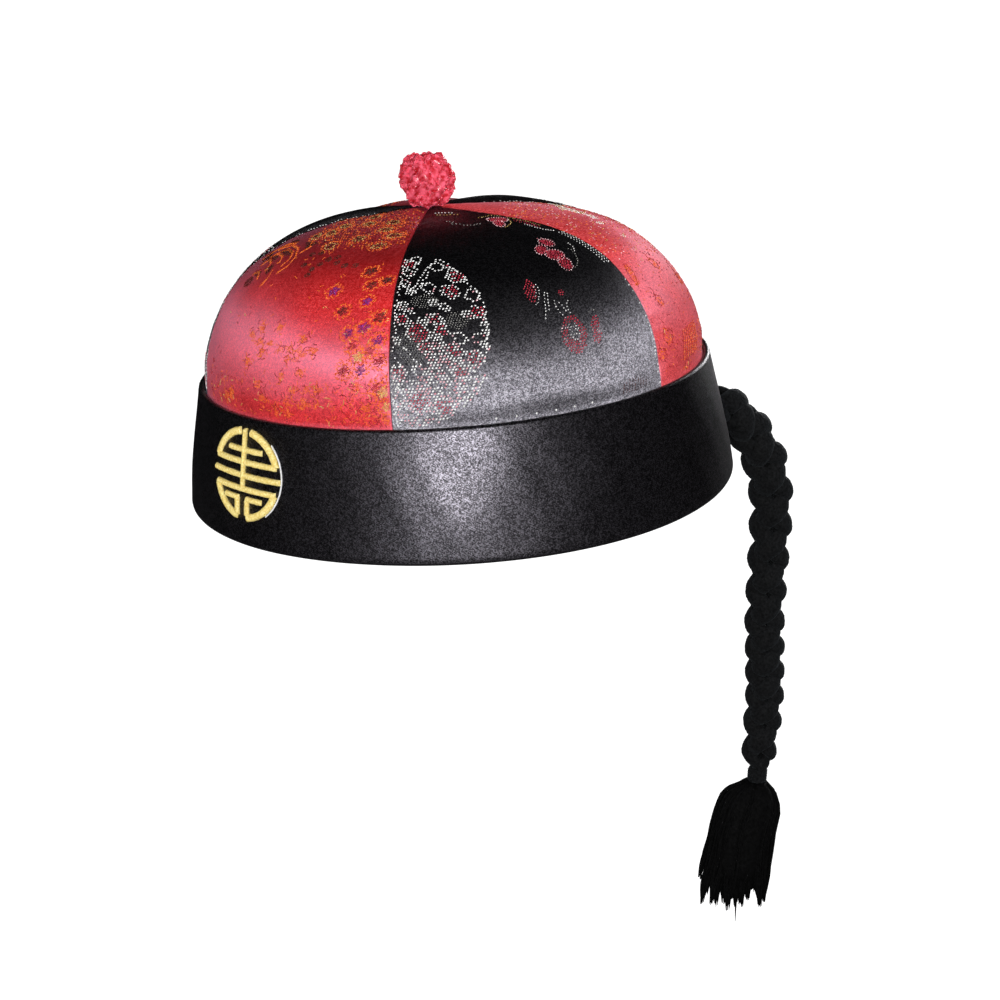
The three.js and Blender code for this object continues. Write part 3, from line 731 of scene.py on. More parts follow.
def make_band():
    """The folded satin band, with the slight waves of cloth sewn by hand."""
    fold = BAND_WALL / 2
    up = np.linspace(fold, BAND_HEIGHT - fold, BAND_ROWS)
    turn = np.pi * np.arange(1, FOLD_ROWS) / FOLD_ROWS
    heights = np.concatenate([
        up, BAND_HEIGHT - fold + fold * np.sin(turn), up[::-1], fold - fold * np.sin(turn),
    ])
    depths = np.concatenate([
        np.zeros(BAND_ROWS), fold - fold * np.cos(turn),
        np.full(BAND_ROWS, BAND_WALL), fold + fold * np.cos(turn),
    ])
    radius_at = np.clip(heights, fold, BAND_HEIGHT - fold)
    azimuth = full_turn(BAND_SIDES) + BAND_JOIN
    turns, z = azimuth[:, None], heights[None]
    wave = sum(high * np.sin(count * turns + slant * z + phase)
               for high, count, slant, phase in BAND_WAVES) * np.sin(np.pi * radius_at / BAND_HEIGHT)
    tucks = BAND_TUCKS * np.sin(150 * turns + 3 * np.sin(7 * turns)) * np.exp((z - BAND_HEIGHT) / 3)
    radius = band_radius(radius_at)[None] - depths[None] + wave + tucks
    rings = radius[..., None] * outward(azimuth)[:, None]
    rings[..., 2] = z - sag(turns, z)
    gone = distances(np.stack([heights, depths], axis=-1))
    cloth = np.stack(np.broadcast_arrays(turns * RIM_RADIUS, gone[None], 0.0), axis=-1)
    return make_piece("satin_band", [ring_solid(rings[:, ::-1])], BAND_SATIN,
                      cloth[:, ::-1].reshape(-1, 3), girth=2 * math.pi * RIM_RADIUS)


band = make_band()
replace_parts(band, "band")


# Crown

def crown_meridian():
    """The outside of the crown in a table by the distance up from the band's top edge."""
    base = BAND_TOP_RADIUS - BAND_WALL - GAP
    end = math.asin((CROWN_HOLE_RADIUS / base) ** (SHOULDER_POWER / 2))
    turn = lerp(math.pi / 2, end, np.linspace(0, 1, 4000) ** 1.15)
    radius = base * np.sin(turn) ** (2 / SHOULDER_POWER)
    rise = (CROWN_TOP - BAND_HEIGHT) * np.maximum(0, np.cos(turn)) ** (2 / DOME_POWER)
    start = BAND_HEIGHT - CROWN_TUCK
    line = np.concatenate([[[band_radius(start) - BAND_WALL - GAP, start]],
                           np.stack([radius, BAND_HEIGHT + rise], axis=-1)])
    up = distances(line)
    up -= up[1]
    even = np.linspace(up[0], up[-1], 1200)
    radius, height = at(even, up, line).T
    out, lift = np.gradient(height), -np.gradient(radius)
    size = np.hypot(out, lift)
    return even, radius, height, out / size, lift / size


MERIDIAN = crown_meridian()
MERIDIAN_LENGTH = MERIDIAN[0][-1]


def seam_azimuth(seam, height):
    share = (height - BAND_HEIGHT) / (CROWN_TOP - BAND_HEIGHT) / SEAM_TURN_REACH
    return SEAMS[seam] + SEAM_TURNS[seam] * np.clip(share, 0, 1)


def gore_edges(gore, up):
    """How far across both seams of a gore lie from the line that its cloth is laid out from."""
    radius, height = [np.interp(up, MERIDIAN[0], row) for row in MERIDIAN[1:3]]
    return [radius * (seam_azimuth(gore + side, height) - GORE_MIDDLES[gore]) for side in (0, 1)]


def crown_point(gore, across, up, lift=0.0):
    """A point of a gore: across from its middle line, up from the band and off its surface."""
    radius, height, out, rise = [np.interp(up, MERIDIAN[0], row) for row in MERIDIAN[1:]]
    azimuth = GORE_MIDDLES[gore] + across / radius
    start, end = seam_azimuth(gore, height), seam_azimuth(gore + 1, height)
    share = np.clip((azimuth - start) / (end - start), 0, 1)
    free = smooth(up / SWELL_START)
    from_seam = np.maximum(0, radius * np.minimum(azimuth - start, end - azimuth))
    dip = SEAM_DIP * np.exp(-from_seam / SEAM_DIP_REACH)
    pucker = PUCKER_HEIGHT * np.exp(-from_seam / PUCKER_REACH) * smooth(from_seam / 2)
    pucker = pucker * np.sin(up * 1.1 + 2 * gore)
    wave = WAVE_HEIGHT * np.sin(0.13 * across + 0.11 * up + gore) * np.sin(0.09 * up + 2 * gore)
    gathers = GATHER_HEIGHT * np.sin(0.75 * across + gore) * np.exp(-up / GATHER_REACH)
    swell = free * (GORE_PUFF * np.sin(np.pi * share) - dip + pucker + wave + gathers) + lift
    place_radius = radius + out * swell
    place = place_radius[..., None] * outward(azimuth)
    lean = np.where(height > BAND_HEIGHT, (1 - radius / BAND_TOP_RADIUS), 0) ** CROWN_LEAN_POWER
    place[..., 0] += lean * BUTTON[0]
    place[..., 1] += lean * BUTTON[1]
    gather = CROWN_PEAK * np.exp(-((place_radius / CROWN_PEAK_REACH) ** 2))
    place[..., 2] = height + rise * swell + gather
    return place


# The second gore's cloth has a brocade of its own, and a paler copy of the red satin that is painted
# lighter
GORE_CLOTHS = ["black", "side", "black", "red", "black", "red"]
SATINS = {"black": BLACK_SATIN, "side": SIDE_SATIN_PAINTED_LIGHT, "red": RED_SATIN}
RED_WEAVE_CURVE = 0.001
# Each gore's cloth takes a stretch of the pattern of its own, and its lining another beside it
CLOTH_STEP = 100.0
LINING_STEP = 2
SEAM_MARGIN = GAP / 2 + 0.05
GORE_ROWS = 74
GORE_COLUMNS = 46


def make_gore(gore):
    """One gore as a closed shell of cloth, with its edges turned in at the seams."""
    up = np.linspace(MERIDIAN[0][0], MERIDIAN_LENGTH, GORE_ROWS)[:, None]
    share = 0.5 + 0.5 * np.cos(np.pi * np.linspace(1, 0, GORE_COLUMNS))[None]
    start, end = gore_edges(gore, up)
    across = lerp(start + SEAM_MARGIN, end - SEAM_MARGIN, share)
    up = up + 0 * across
    walls = wall(crown_point(gore, across, up), crown_point(gore, across, up, -CROWN_WALL))
    cloth = np.stack([across + CLOTH_STEP * gore, up, 0 * up], axis=-1)
    cloth = np.concatenate([cloth, cloth + [0, 0, LINING_STEP]]).reshape(-1, 3)
    kind = GORE_CLOTHS[gore]
    colour = "black" if kind == "black" else "red"
    piece = make_piece(f"gore_{gore + 1}_{colour}", [walls], SATINS[kind], cloth,
                       curve=RED_WEAVE_CURVE if kind == "red" else 0.0)
    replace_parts(piece, f"crown_panel_{gore + 1}")


for gore in range(GORES):
    make_gore(gore)


SEAM_ROWS = 90
SEAM_DEPTH = 1.0
SEAM_THREAD_RADIUS = 0.45


def make_seams():
    """Dark thread sewn deep in the seams, so that no light comes through between the gores."""
    up = np.linspace(0.5, MERIDIAN_LENGTH, SEAM_ROWS)
    lines = np.array([crown_point(gore, gore_edges(gore, up)[0], up, -SEAM_DEPTH)
                      for gore in range(GORES)])
    across = outward(SEAMS[:-1] + math.pi / 2)[:, None]
    return make_piece("seam_threads", [threads(lines, SEAM_THREAD_RADIUS, 6, across)], SEAM_THREAD)


make_seams()


# Brocade: thread floats woven over the gores

def marks(place, angle, length):
    """Rows of across, up, angle and length. Place is how far across and how far up."""
    rows = np.broadcast_arrays(*place, angle, length)
    return np.stack([row.astype(float).ravel() for row in rows], axis=-1)


# How far floats keep from a seam, and how deep their edges lie in the cloth
FLOAT_MARGIN = 0.5
FLOAT_SINK = 0.04


def float_parts(gore, rows, width, height):
    """Closed pillows for the marks that lie on a gore."""
    across, up = rows.T[:2]
    start, end = gore_edges(gore, up)
    kept = (across > start + FLOAT_MARGIN) & (across < end - FLOAT_MARGIN)
    kept &= (up > 0.3) & (up < MERIDIAN_LENGTH - 4)
    across, up, angle, length = rows[kept].T
    width = np.minimum(width, 0.8 * length)
    cos, sin = np.cos(angle), np.sin(angle)

    def pair(dx, dy):
        return [crown_point(gore, across + way * dx, up + way * dy, -FLOAT_SINK)
                for way in (-1, 1)]

    return pillows(pair(cos * length / 2, sin * length / 2), pair(-sin * width / 2, cos * width / 2),
                   crown_point(gore, across, up, height), crown_point(gore, across, up, -height))


def lattice(x, y, reach, pitch=1.0, rise=0.82):
    """Points on staggered rows round a place, out to a reach, each a little astray."""
    rows, columns = [np.arange(-math.ceil(reach / step), math.ceil(reach / step) + 1)
                     for step in (rise, pitch)]
    v, u = np.meshgrid(rows, columns, indexing="ij")
    spots = np.array([(u + 0.5 * (v % 2)) * pitch, v * rise]) + rng.normal(0, 0.06, (2, *u.shape))
    return spots[:, np.hypot(*spots) <= reach].T + [x, y]


def thinned(spots, share):
    return spots[rng.uniform(size=len(spots)) < share]


SLANT = math.radians(34)


def fill(spots, length, angle=SLANT):
    """Marks at the spots that all slant about the same way."""
    return marks(spots.T, angle + rng.normal(0, 0.12, len(spots)),
                 length * rng.uniform(0.75, 1.2, len(spots)))


def scatter(spots, length):
    """Marks at the spots that lie every way."""
    return marks(spots.T, rng.uniform(0, 3.14, len(spots)), length)


def petal_radius(angle, size, petals, phase, depth):
    return size * (1 - depth + depth * np.abs(np.cos(petals * (angle - phase) / 2)))


def inside_blossom(spots, x, y, *blossom):
    dx, dy = (spots - [x, y]).T
    return np.hypot(dx, dy) < petal_radius(np.arctan2(dy, dx), *blossom)


def along_path(path, pitch, length, closed=False, stray=0.08):
    """Marks that follow a path of points."""
    path = np.asarray(path, dtype=float)
    if closed:
        path = np.vstack([path, path[:1]])
    gone = distances(path)
    even = np.arange(pitch / 2, gone[-1], pitch)
    way = at(even + 0.2, gone, path) - at(even - 0.2, gone, path)
    spots = at(even, gone, path) + rng.normal(0, stray, way.shape)
    return marks(spots.T, np.arctan2(way[:, 1], way[:, 0]), length * rng.uniform(0.8, 1.2, len(way)))


def blossom_path(x, y, *blossom):
    angle = full_turn(60)
    return [x, y] + polar(petal_radius(angle, *blossom), angle)


def turned(place, tilt):
    x, y = place
    cos, sin = math.cos(tilt), math.sin(tilt)
    return np.array([x * cos + y * sin, y * cos - x * sin])


def inside_oval(spots, x, y, wide, high, tilt=0.0):
    u, v = turned((spots - [x, y]).T, tilt)
    return (u / wide) ** 2 + (v / high) ** 2 < 1


def oval_path(x, y, wide, high, tilt):
    angle = full_turn(60)
    return turned((wide * np.cos(angle), high * np.sin(angle)), -tilt).T + [x, y]


def fill_oval(oval, length, pitch, rise, reach=0.0):
    """Marks inside an oval, given by its middle, half width, half height and tilt."""
    spots = lattice(*oval[:2], reach or max(oval[2:4]), pitch, rise)
    return fill(spots[inside_oval(spots, *oval)], length)


class Cloth:
    """Marks for each thread colour of one gore's brocade."""

    def __init__(self):
        self.rows = {}

    def add(self, colour, rows):
        self.rows.setdefault(colour, []).append(rows)

    def share_out(self, spots, work, length, **shares):
        """Give each colour the spots picked for it at random, up to its share of them."""
        pick = rng.uniform(size=len(spots))
        low = 0
        for colour, high in shares.items():
            self.add(colour, work(spots[(pick >= low) & (pick < high)], length))
            low = high

    def moved(self, across, up):
        return {colour: np.concatenate(rows) + [across, up, 0, 0]
                for colour, rows in self.rows.items()}


MEDALLION = (-45.0, 30.0)
MEDALLION_RINGS = [
    (-25.3, 58.6, 2.1), (-20.0, 54.2, 2.5), (-13.4, 40.7, 2.5), (-15.2, 25.8, 2.2), (-22.9, 37.6, 1.9),
    (-35.4, 17.2, 2.2), (-25.4, 45.2, 2.4), (-32.2, 48.2, 2.0), (-20.8, 26.6, 2.4), (-30.0, 53.0, 1.9),
    (-39.5, 46.0, 2.6), (-44.5, 33.0, 2.4),
]
MEDALLION_BLOSSOMS = [
    (-28.5, 57.5, 2.2), (-16.6, 54.1, 1.4), (-15.9, 48.9, 2.7), (-19.4, 43.0, 2.4), (-13.2, 34.7, 1.9),
    (-17.7, 20.1, 2.3), (-23.1, 22.7, 1.8), (-33.1, 29.2, 3.2), (-32.0, 24.8, 1.4), (-36.7, 34.3, 1.8),
    (-41.5, 17.0, 2.0), (-36.7, 8.2, 3.0), (-29.4, 6.2, 2.6), (-26.4, 33.1, 1.6), (-25.7, 29.6, 1.8),
    (-22.6, 16.0, 1.8), (-41.0, 39.0, 2.6), (-43.0, 54.0, 2.6),
]
MEDALLION_PATCHES = [
    (-31.5, 44.4, 1.9), (-15.9, 33.1, 1.5), (-17.8, 34.3, 1.4), (-12.6, 30.4, 1.5), (-13.2, 27.4, 1.6),
    (-13.8, 23.7, 1.7), (-35.5, 38.9, 2.3), (-33.3, 36.9, 1.3), (-28.0, 34.1, 1.9), (-25.7, 39.4, 1.6),
    (-30.9, 32.6, 1.9), (-31.0, 22.8, 2.1), (-30.1, 19.4, 2.4), (-26.5, 21.2, 2.2), (-27.8, 24.8, 2.4),
    (-23.1, 19.3, 2.3), (-22.3, 17.2, 2.0), (-19.5, 16.9, 1.4), (-32.2, 16.6, 1.9), (-28.8, 15.2, 2.5),
    (-24.8, 17.5, 2.1), (-28.5, 28.0, 1.8), (-37.5, 52.0, 2.2), (-36.5, 57.0, 1.8), (-40.5, 27.5, 1.5),
]
MEDALLION_LINES = [
    [(-31.9, 44.5), (-29.2, 46.5), (-27.1, 49.4), (-24.5, 52.3), (-22.0, 55.1)],
    [(-30.6, 44.2), (-28.0, 46.2), (-25.7, 49.0), (-23.3, 51.8)],
    [(-33.2, 46.2), (-30.8, 49.4), (-28.0, 51.6), (-26.2, 54.6)],
    [(-20.1, 57.8), (-17.7, 56.8), (-15.6, 52.6), (-13.5, 48.6), (-12.8, 44.7), (-10.9, 39.9),
     (-12.0, 32.2), (-11.9, 28.1), (-12.8, 24.7), (-15.0, 19.0), (-18.9, 16.0)],
    [(-40.3, 26.2), (-38.2, 24.4), (-35.9, 20.9), (-34.6, 19.0)],
    [(-41.8, 20.7), (-40.7, 19.8), (-42.0, 13.5), (-43.6, 11.7)],
    [(-45.0, 61.0), (-36.0, 61.5), (-30.0, 61.0)],
]
# Where the medallion's ground has small even dots: middle, half width, half height
MEDALLION_DOTS = [(-28.2, 40.0, 4.2, 2.8), (-20.4, 32.4, 3.4, 3.0), (-36.5, 24.5, 4.5, 5.5)]

# The sprays' petals: middle, half width, half height, tilt
PETALS = [(18.9, 59.3, 2.7, 1.5, -0.6), (15.4, 56.0, 2.1, 2.0, 0.0), (19.0, 52.7, 3.3, 2.1, -0.4),
          (21.1, 48.0, 2.0, 2.9, 0.3), (10.8, 81.6, 3.6, 2.6, -0.3), (9.2, 77.4, 1.6, 3.0, -0.2)]
SPRAY_LINES = [
    ("silver", [(27.0, 57.0), (28.2, 54.5), (27.6, 52.0)]),
    ("grey", [(25.2, 54.2), (26.7, 53.1), (27.0, 49.5), (25.7, 46.8), (23.5, 45.0)]),
    ("pink", [(16.5, 62.6), (18.5, 61.8), (21.4, 58.2)]),
    ("silver", [(7.2, 41.9), (7.6, 39.3), (6.9, 37.0), (5.9, 35.2), (4.7, 34.2)]),
    ("silver", [(6.2, 41.2), (6.4, 39.0), (5.7, 36.6)]),
    ("silver", [(9.1, 38.7), (8.3, 35.5), (7.6, 32.0), (6.8, 29.3)]),
    ("silver", [(10.1, 38.2), (9.3, 35.0), (8.6, 31.6)]),
    ("silver", [(11.7, 35.3), (11.2, 33.6), (11.3, 32.2), (12.1, 30.9), (12.8, 29.6)]),
    ("silver", [(16.1, 34.6), (15.4, 33.0), (15.1, 31.6), (15.7, 29.3)]),
    ("silver", [(12.6, 34.3), (13.8, 32.4), (14.6, 30.0)]),
    ("grey", [(22.0, 28.8), (23.6, 29.6), (25.4, 28.6)]),
    ("gold", [(5.0, 86.0), (8.0, 86.6), (11.0, 88.0), (15.0, 85.5)]),
    ("gold", [(15.0, 80.5), (14.0, 77.0), (12.0, 74.6), (9.6, 73.4)]),
    ("gold", [(16.0, 83.5), (18.5, 79.5), (21.5, 75.0), (24.0, 70.5)]),
    ("rose", [(16.5, 80.0), (19.0, 76.2), (21.0, 72.8), (23.0, 69.5)]),
    ("rose", [(15.5, 78.6), (18.0, 75.0), (20.2, 71.6), (22.2, 68.6)]),
    ("silver", [(17.5, 74.0), (20.0, 70.0), (23.0, 66.8), (26.5, 65.0)]),
    ("silver", [(-4.5, 100.0), (-2.0, 98.4), (1.0, 96.0)]),
    ("gold", [(-5.0, 97.0), (-2.0, 94.6), (1.5, 92.8)]),
    ("grey", [(-3.0, 79.6), (0.5, 78.6), (3.0, 79.2)]),
    ("grey", [(-6.0, 86.5), (-4.0, 84.5), (-5.5, 82.0), (-2.5, 81.0)]),
]


def black_brocade():
    """The black cloth: a silver medallion with rose blossoms, and sprays of plum blossom."""
    cloth = Cloth()
    spots = lattice(*MEDALLION, 37, 1.08, 0.86)
    # The medallion's far half mirrors the half that is seen
    folded = spots.copy()
    folded[:, 0] = MEDALLION[0] + abs(spots[:, 0] - MEDALLION[0])
    silver = np.zeros(len(spots), dtype=bool)
    rose = silver.copy()
    for x, y, size in MEDALLION_PATCHES:
        silver |= inside_blossom(folded, x, y, size, 5, x, 0.15)
    for x, y, size in MEDALLION_RINGS:
        silver |= inside_oval(folded, x, y, size, size) & ~inside_oval(folded, x, y, size - 1, size - 1)
    for x, y, size in MEDALLION_BLOSSOMS:
        silver |= inside_blossom(folded, x, y, size + 0.9, 5, x, 0.2)
        rose |= inside_blossom(folded, x, y, size - 0.1, 5, x, 0.2)
    rose &= rng.uniform(size=len(spots)) < 0.75
    lower = (folded[:, 1] < 15) & inside_oval(folded, *MEDALLION, 35, 31)
    pick = rng.uniform(size=len(spots))
    silver = (silver | lower & (pick < 0.7)) & ~rose
    pink = silver & (rng.uniform(size=len(spots)) < np.where(folded[:, 1] < 26, 0.4, 0.1))
    cloth.add("rose", fill(spots[rose], 1.05))
    cloth.add("pink", fill(spots[pink], 1.05))
    cloth.add("silver", fill(spots[silver & ~pink], 1.1))
    cloth.add("grey", fill(spots[lower & ~silver & ~rose & (pick < 0.9)], 0.7))
    for path in MEDALLION_LINES:
        for start, way in ((0, 1), (2 * MEDALLION[0], -1)):
            line = along_path([start, 0] + np.array(path) * [way, 1], 1.4, 1.0, stray=0.2)
            line[:, 2] = SLANT
            cloth.add("silver", line)
    for oval in MEDALLION_DOTS:
        cloth.add("grey", fill_oval(oval, 0.5, 0.85, 0.7))
    for x, y, wide, high, tilt in PETALS:
        cloth.add("rose", fill_oval((x, y, wide, high, tilt), 0.8, 0.7, 0.55, reach=4))
        cloth.add("pink", along_path(oval_path(x, y, wide + 0.4, high + 0.4, tilt), 1.0, 0.7, True))
    for colour, path in SPRAY_LINES:
        cloth.add(colour, along_path(path, 1.1, 0.62))
    spots = lattice(5, 39, 6, 1.0, 0.8)
    cloth.add("rose", fill(spots[inside_oval(spots, 4.6, 39.5, 1.9, 4.6, -0.15)], 0.85))
    cloth.add("rose", fill(lattice(14.6, 37.2, 1.1, 0.8, 0.7), 0.8))
    spots = lattice(17, 23, 12)
    heart = inside_oval(spots, 15.3, 24.0, 2.1, 3.1)
    ring = inside_oval(spots, 15.2, 23.0, 4.4, 6.2) & ~heart
    ring |= inside_oval(spots, 23.6, 24.9, 1.5, 3.2, -0.4) | inside_oval(spots, 23.4, 20.9, 1.8, 2.0)
    pick = rng.uniform(size=len(spots))
    cloth.add("rose", fill(spots[ring & (pick < 0.82)], 1.05))
    cloth.add("pink", fill(spots[ring & (pick > 0.82)], 0.7))
    cloth.add("silver", fill(spots[heart & (pick < 0.6)], 0.6))
    up = np.arange(45, 64, 1.15)
    for inset in (1.4, 2.8, 4.4):
        cloth.add("silver", marks((gore_edges(0, up)[1] - inset, up), 0.8, 0.75))
    cloth.add("silver", marks((np.arange(-14, 22, 6.4), 1.1), 1.5, 1.1))
    for rib in range(9):
        x = 30.5 + 1.3 * rib
        high = 5.8 - 0.35 * abs(rib - 4)
        cloth.add("dark", along_path([(x, 1.2), (x + 0.5, high)], 0.7, 0.7))
    return cloth


def seam_marks(gore):
    """Floats that show here and there along both edges of a gore."""
    found = []
    for side, share in ((0, 0.8), (1, 0.8 if gore else 0.3)):
        up = thinned(np.arange(1, 96 if gore else 60, 1.15), share)
        edge = gore_edges(gore, up)[side] + (1 - 2 * side) * rng.uniform(0.8, 2.0, len(up))
        found.append(marks((edge, up), SLANT, 1.0))
    return np.concatenate(found)


RED_STARS = [
    (20.8, 52.9, "dark"), (28.4, 49.3, "dark"), (13.0, 44.0, "violet"), (24.7, 47.0, "dark"),
    (20.2, 36.8, "dark"), (26.6, 40.6, "violet"), (33.5, 35.0, "dark"), (25.3, 29.4, "violet"),
    (29.8, 31.4, "violet"), (35.9, 27.4, "violet"), (28.1, 25.3, "crimson"), (34.2, 23.9, "crimson"),
    (27.3, 17.1, "crimson"), (32.9, 17.9, "violet"), (37.9, 20.5, "crimson"), (38.8, 12.6, "crimson"),
    (41.0, 11.2, "gold"), (42.4, 6.6, "gold"), (31.2, 21.9, "gold"),
]
RED_PATCHES = [
    (-9.1, 28.7), (-1.0, 29.3), (-8.2, 23.7), (-3.3, 23.9), (1.8, 22.7), (6.1, 22.7), (10.5, 21.7),
    (10.4, 26.6), (15.2, 23.1), (-12.4, 17.1), (-6.0, 20.7), (6.1, 19.9), (11.8, 16.2), (-5.7, 11.0),
    (4.5, 14.3), (14.8, 11.1), (7.6, 7.0), (9.6, 10.6), (14.6, 6.3), (18.8, 11.3), (7.5, 2.9),
    (2.9, 3.8), (-13.4, 25.6), (-20.8, 6.0), (-3.2, 6.5), (18.8, 6.3), (-25.0, 4.3), (42.4, 2.6),
    (42.6, 15.4), (42.8, 20.6), (42.9, 25.4), (40.6, 30.4), (32.6, 12.6), (36.6, 6.4),
]
RED_ROSETTES = [
    (-3.9, 64.6), (3.1, 71.2), (13.5, 67.5), (-12.3, 72.4), (-11.7, 78.9), (-3.8, 84.3),
    (6.6, 80.6), (4.1, 88.1), (-17.7, 68.6), (13.0, 76.0), (-8.0, 91.0),
]
RED_SPECKS = [
    (-14.8, 62.3), (-7.9, 59.0), (-4.6, 60.6), (-7.0, 53.6), (-2.1, 52.3), (-1.8, 49.6),
    (-0.5, 55.0), (1.4, 57.7), (5.7, 56.4), (9.8, 55.3), (13.5, 55.5), (-13.2, 64.3),
    (4.1, 59.1),
]
CLOUD_LINES = [
    [(-40, 50), (-36, 55), (-31, 59.5), (-25, 62)],
    [(-15, 58), (-13, 62), (-16, 65)],
    [(-33, 56), (-26, 60.5), (-19, 60), (-15, 56), (-14.5, 51), (-17, 47.5)],
    [(-31, 54), (-25, 58), (-19.5, 57.6), (-17, 54.5), (-18, 50.5)],
    [(-33, 52), (-28, 55), (-23, 54.5), (-21, 51.5)],
    [(-35, 48), (-31, 51.5), (-27, 50.5), (-26, 47)],
    [(-21, 48), (-20.5, 44.5), (-22, 41.5)],
    [(-36, 44), (-31, 46), (-28, 43.5)],
]
CLOUD_DARKS = [(-24, 57, 4.8, 1.7, 0.1), (-29.5, 52.6, 4.4, 1.6, 0.2), (-24, 48.5, 1.8, 2.4, 0.0),
               (-34.5, 41.5, 3.4, 2.0, 0.3), (-31.5, 45.5, 3.0, 1.4, 0.1), (-36.5, 52, 3.6, 2.0, 0.6),
               (-28.0, 62.5, 3.0, 1.2, 0.3), (-16.0, 64.0, 2.6, 1.2, 0.0)]


def strokes(spots, length):
    """Bent strokes that run every way, each of three marks that turn one after the other."""
    angle = rng.uniform(0, 2 * np.pi, len(spots))
    bend = rng.uniform(-0.9, 0.9, len(spots))
    reach = length / 3 * rng.uniform(0.8, 1.2, len(spots))
    return np.concatenate([
        marks((spots + polar(place * reach, angle + place * bend / 2)).T, angle + place * bend,
              1.35 * reach)
        for place in (-1, 0, 1)])


def scribble(cloth, x, y, size, dense=0.8):
    """A small flower worked in bent strokes that run every way."""
    spots = lattice(x, y, size, 0.55, 0.45)
    spots = spots[inside_blossom(spots, x, y, 0.6 * size, 3, x, 0.5)]
    cloth.add("orange", fill(thinned(spots, dense), 0.9, x))
    spots = lattice(x, y, size + 1, 1.15, 1.0)
    spots = thinned(spots, 0.75 * dense * inside_blossom(spots, x, y, size, 4, x, 0.35))
    cloth.share_out(spots, strokes, 1.7, orange=0.55, crimson=0.97, gold=1)


def red_brocade():
    """The red cloth: leafy stars, small flowers, a swirl of cloud and rings of petals."""
    cloth = Cloth()
    for x, y, heart in RED_STARS:
        size = rng.uniform(2.0, 2.6)
        phase = rng.uniform(0, 6)
        spots = lattice(x, y, size + 1, 0.52, 0.4)
        cloth.add(heart, fill(spots[inside_blossom(spots, x, y, 0.75 * size, 5, phase, 0.4)], 0.9))
        edge = blossom_path(x, y, size + 0.5, 5, phase, 0.45)
        cloth.add("orange", along_path(edge, 0.7, 0.9, True, 0.16))
        angle = full_turn(11) + rng.normal(0, 0.1, 11)
        spikes = [x, y] + polar(size + 0.3, angle)
        cloth.add("orange", marks(spikes.T, angle + 0.3, 1.4))
    for x, y in RED_PATCHES:
        scribble(cloth, x, y, rng.uniform(2.2, 3.0))
    for middle in RED_ROSETTES:
        for radius, colour in ((1.9, "gold"), (3.3, "orange")):
            count = round(radius * 4)
            ring = polar(radius + rng.normal(0, 0.15, count), full_turn(count))
            cloth.add(colour, strokes(middle + ring, 1.7))
        cloth.add("dark", fill(lattice(*middle, 1.5, 0.55, 0.5), 0.7))
    spots = lattice(0, 82, 24, 1.1, 0.9)
    spots = thinned(spots, 0.72 * (spots[:, 1] > 64))
    cloth.share_out(spots, scatter, 1.1, orange=0.38, gold=0.42, crimson=0.72, dark=1)
    for path in CLOUD_LINES:
        for shift, colour in ((0.0, "orange"), (0.4, "orange"), (0.8, "orange"), (1.3, "crimson")):
            cloth.add(colour, along_path(np.array(path) + [0, shift], 0.8, 0.95, stray=0.05))
    for oval in CLOUD_DARKS:
        cloth.add("dark", fill_oval(oval, 0.8, 0.6, 0.5))
    for middle in RED_SPECKS:
        cloth.add("dark", fill(thinned(lattice(*middle, 1.25, 0.55, 0.45), 0.85), 0.9, 1.2))
    spots = lattice(0, 20, 44, 1.2, 1.0)
    x, y = spots.T
    share = 0.4 * smooth((x - 20) / 10) * (y < 38) + 0.16 * (y < 13) + 0.02
    cloth.share_out(thinned(spots, share), strokes, 1.5, orange=0.45, crimson=0.9, gold=1)
    return cloth


# Small flowers of the second red gore, and the leaf and the ribs beside them
SIDE_FLOWERS = [(-24.7, 25.6, 1.6), (-30.8, 13.6, 2.6), (-9.0, 36.5, 1.8), (-37.0, 9.0, 1.8),
                (-22.0, 1.8, 1.6), (4.0, 27.0, 2.2), (14.0, 14.0, 2.4), (22.0, 33.0, 2.0)]
SIDE_PALE = [(14.5, 74.5, 2.6, 1.6, 0.3), (9.5, 73.0, 3.6, 1.8, 0.1), (5.5, 71.0, 3.4, 2.2, -0.6),
             (3.8, 67.0, 2.6, 2.6, -0.9), (2.5, 62.5, 1.8, 2.4, -0.9), (-2.5, 59.0, 1.8, 1.0, -0.5),
             (-4.0, 50.0, 1.4, 0.9, 0.3)]


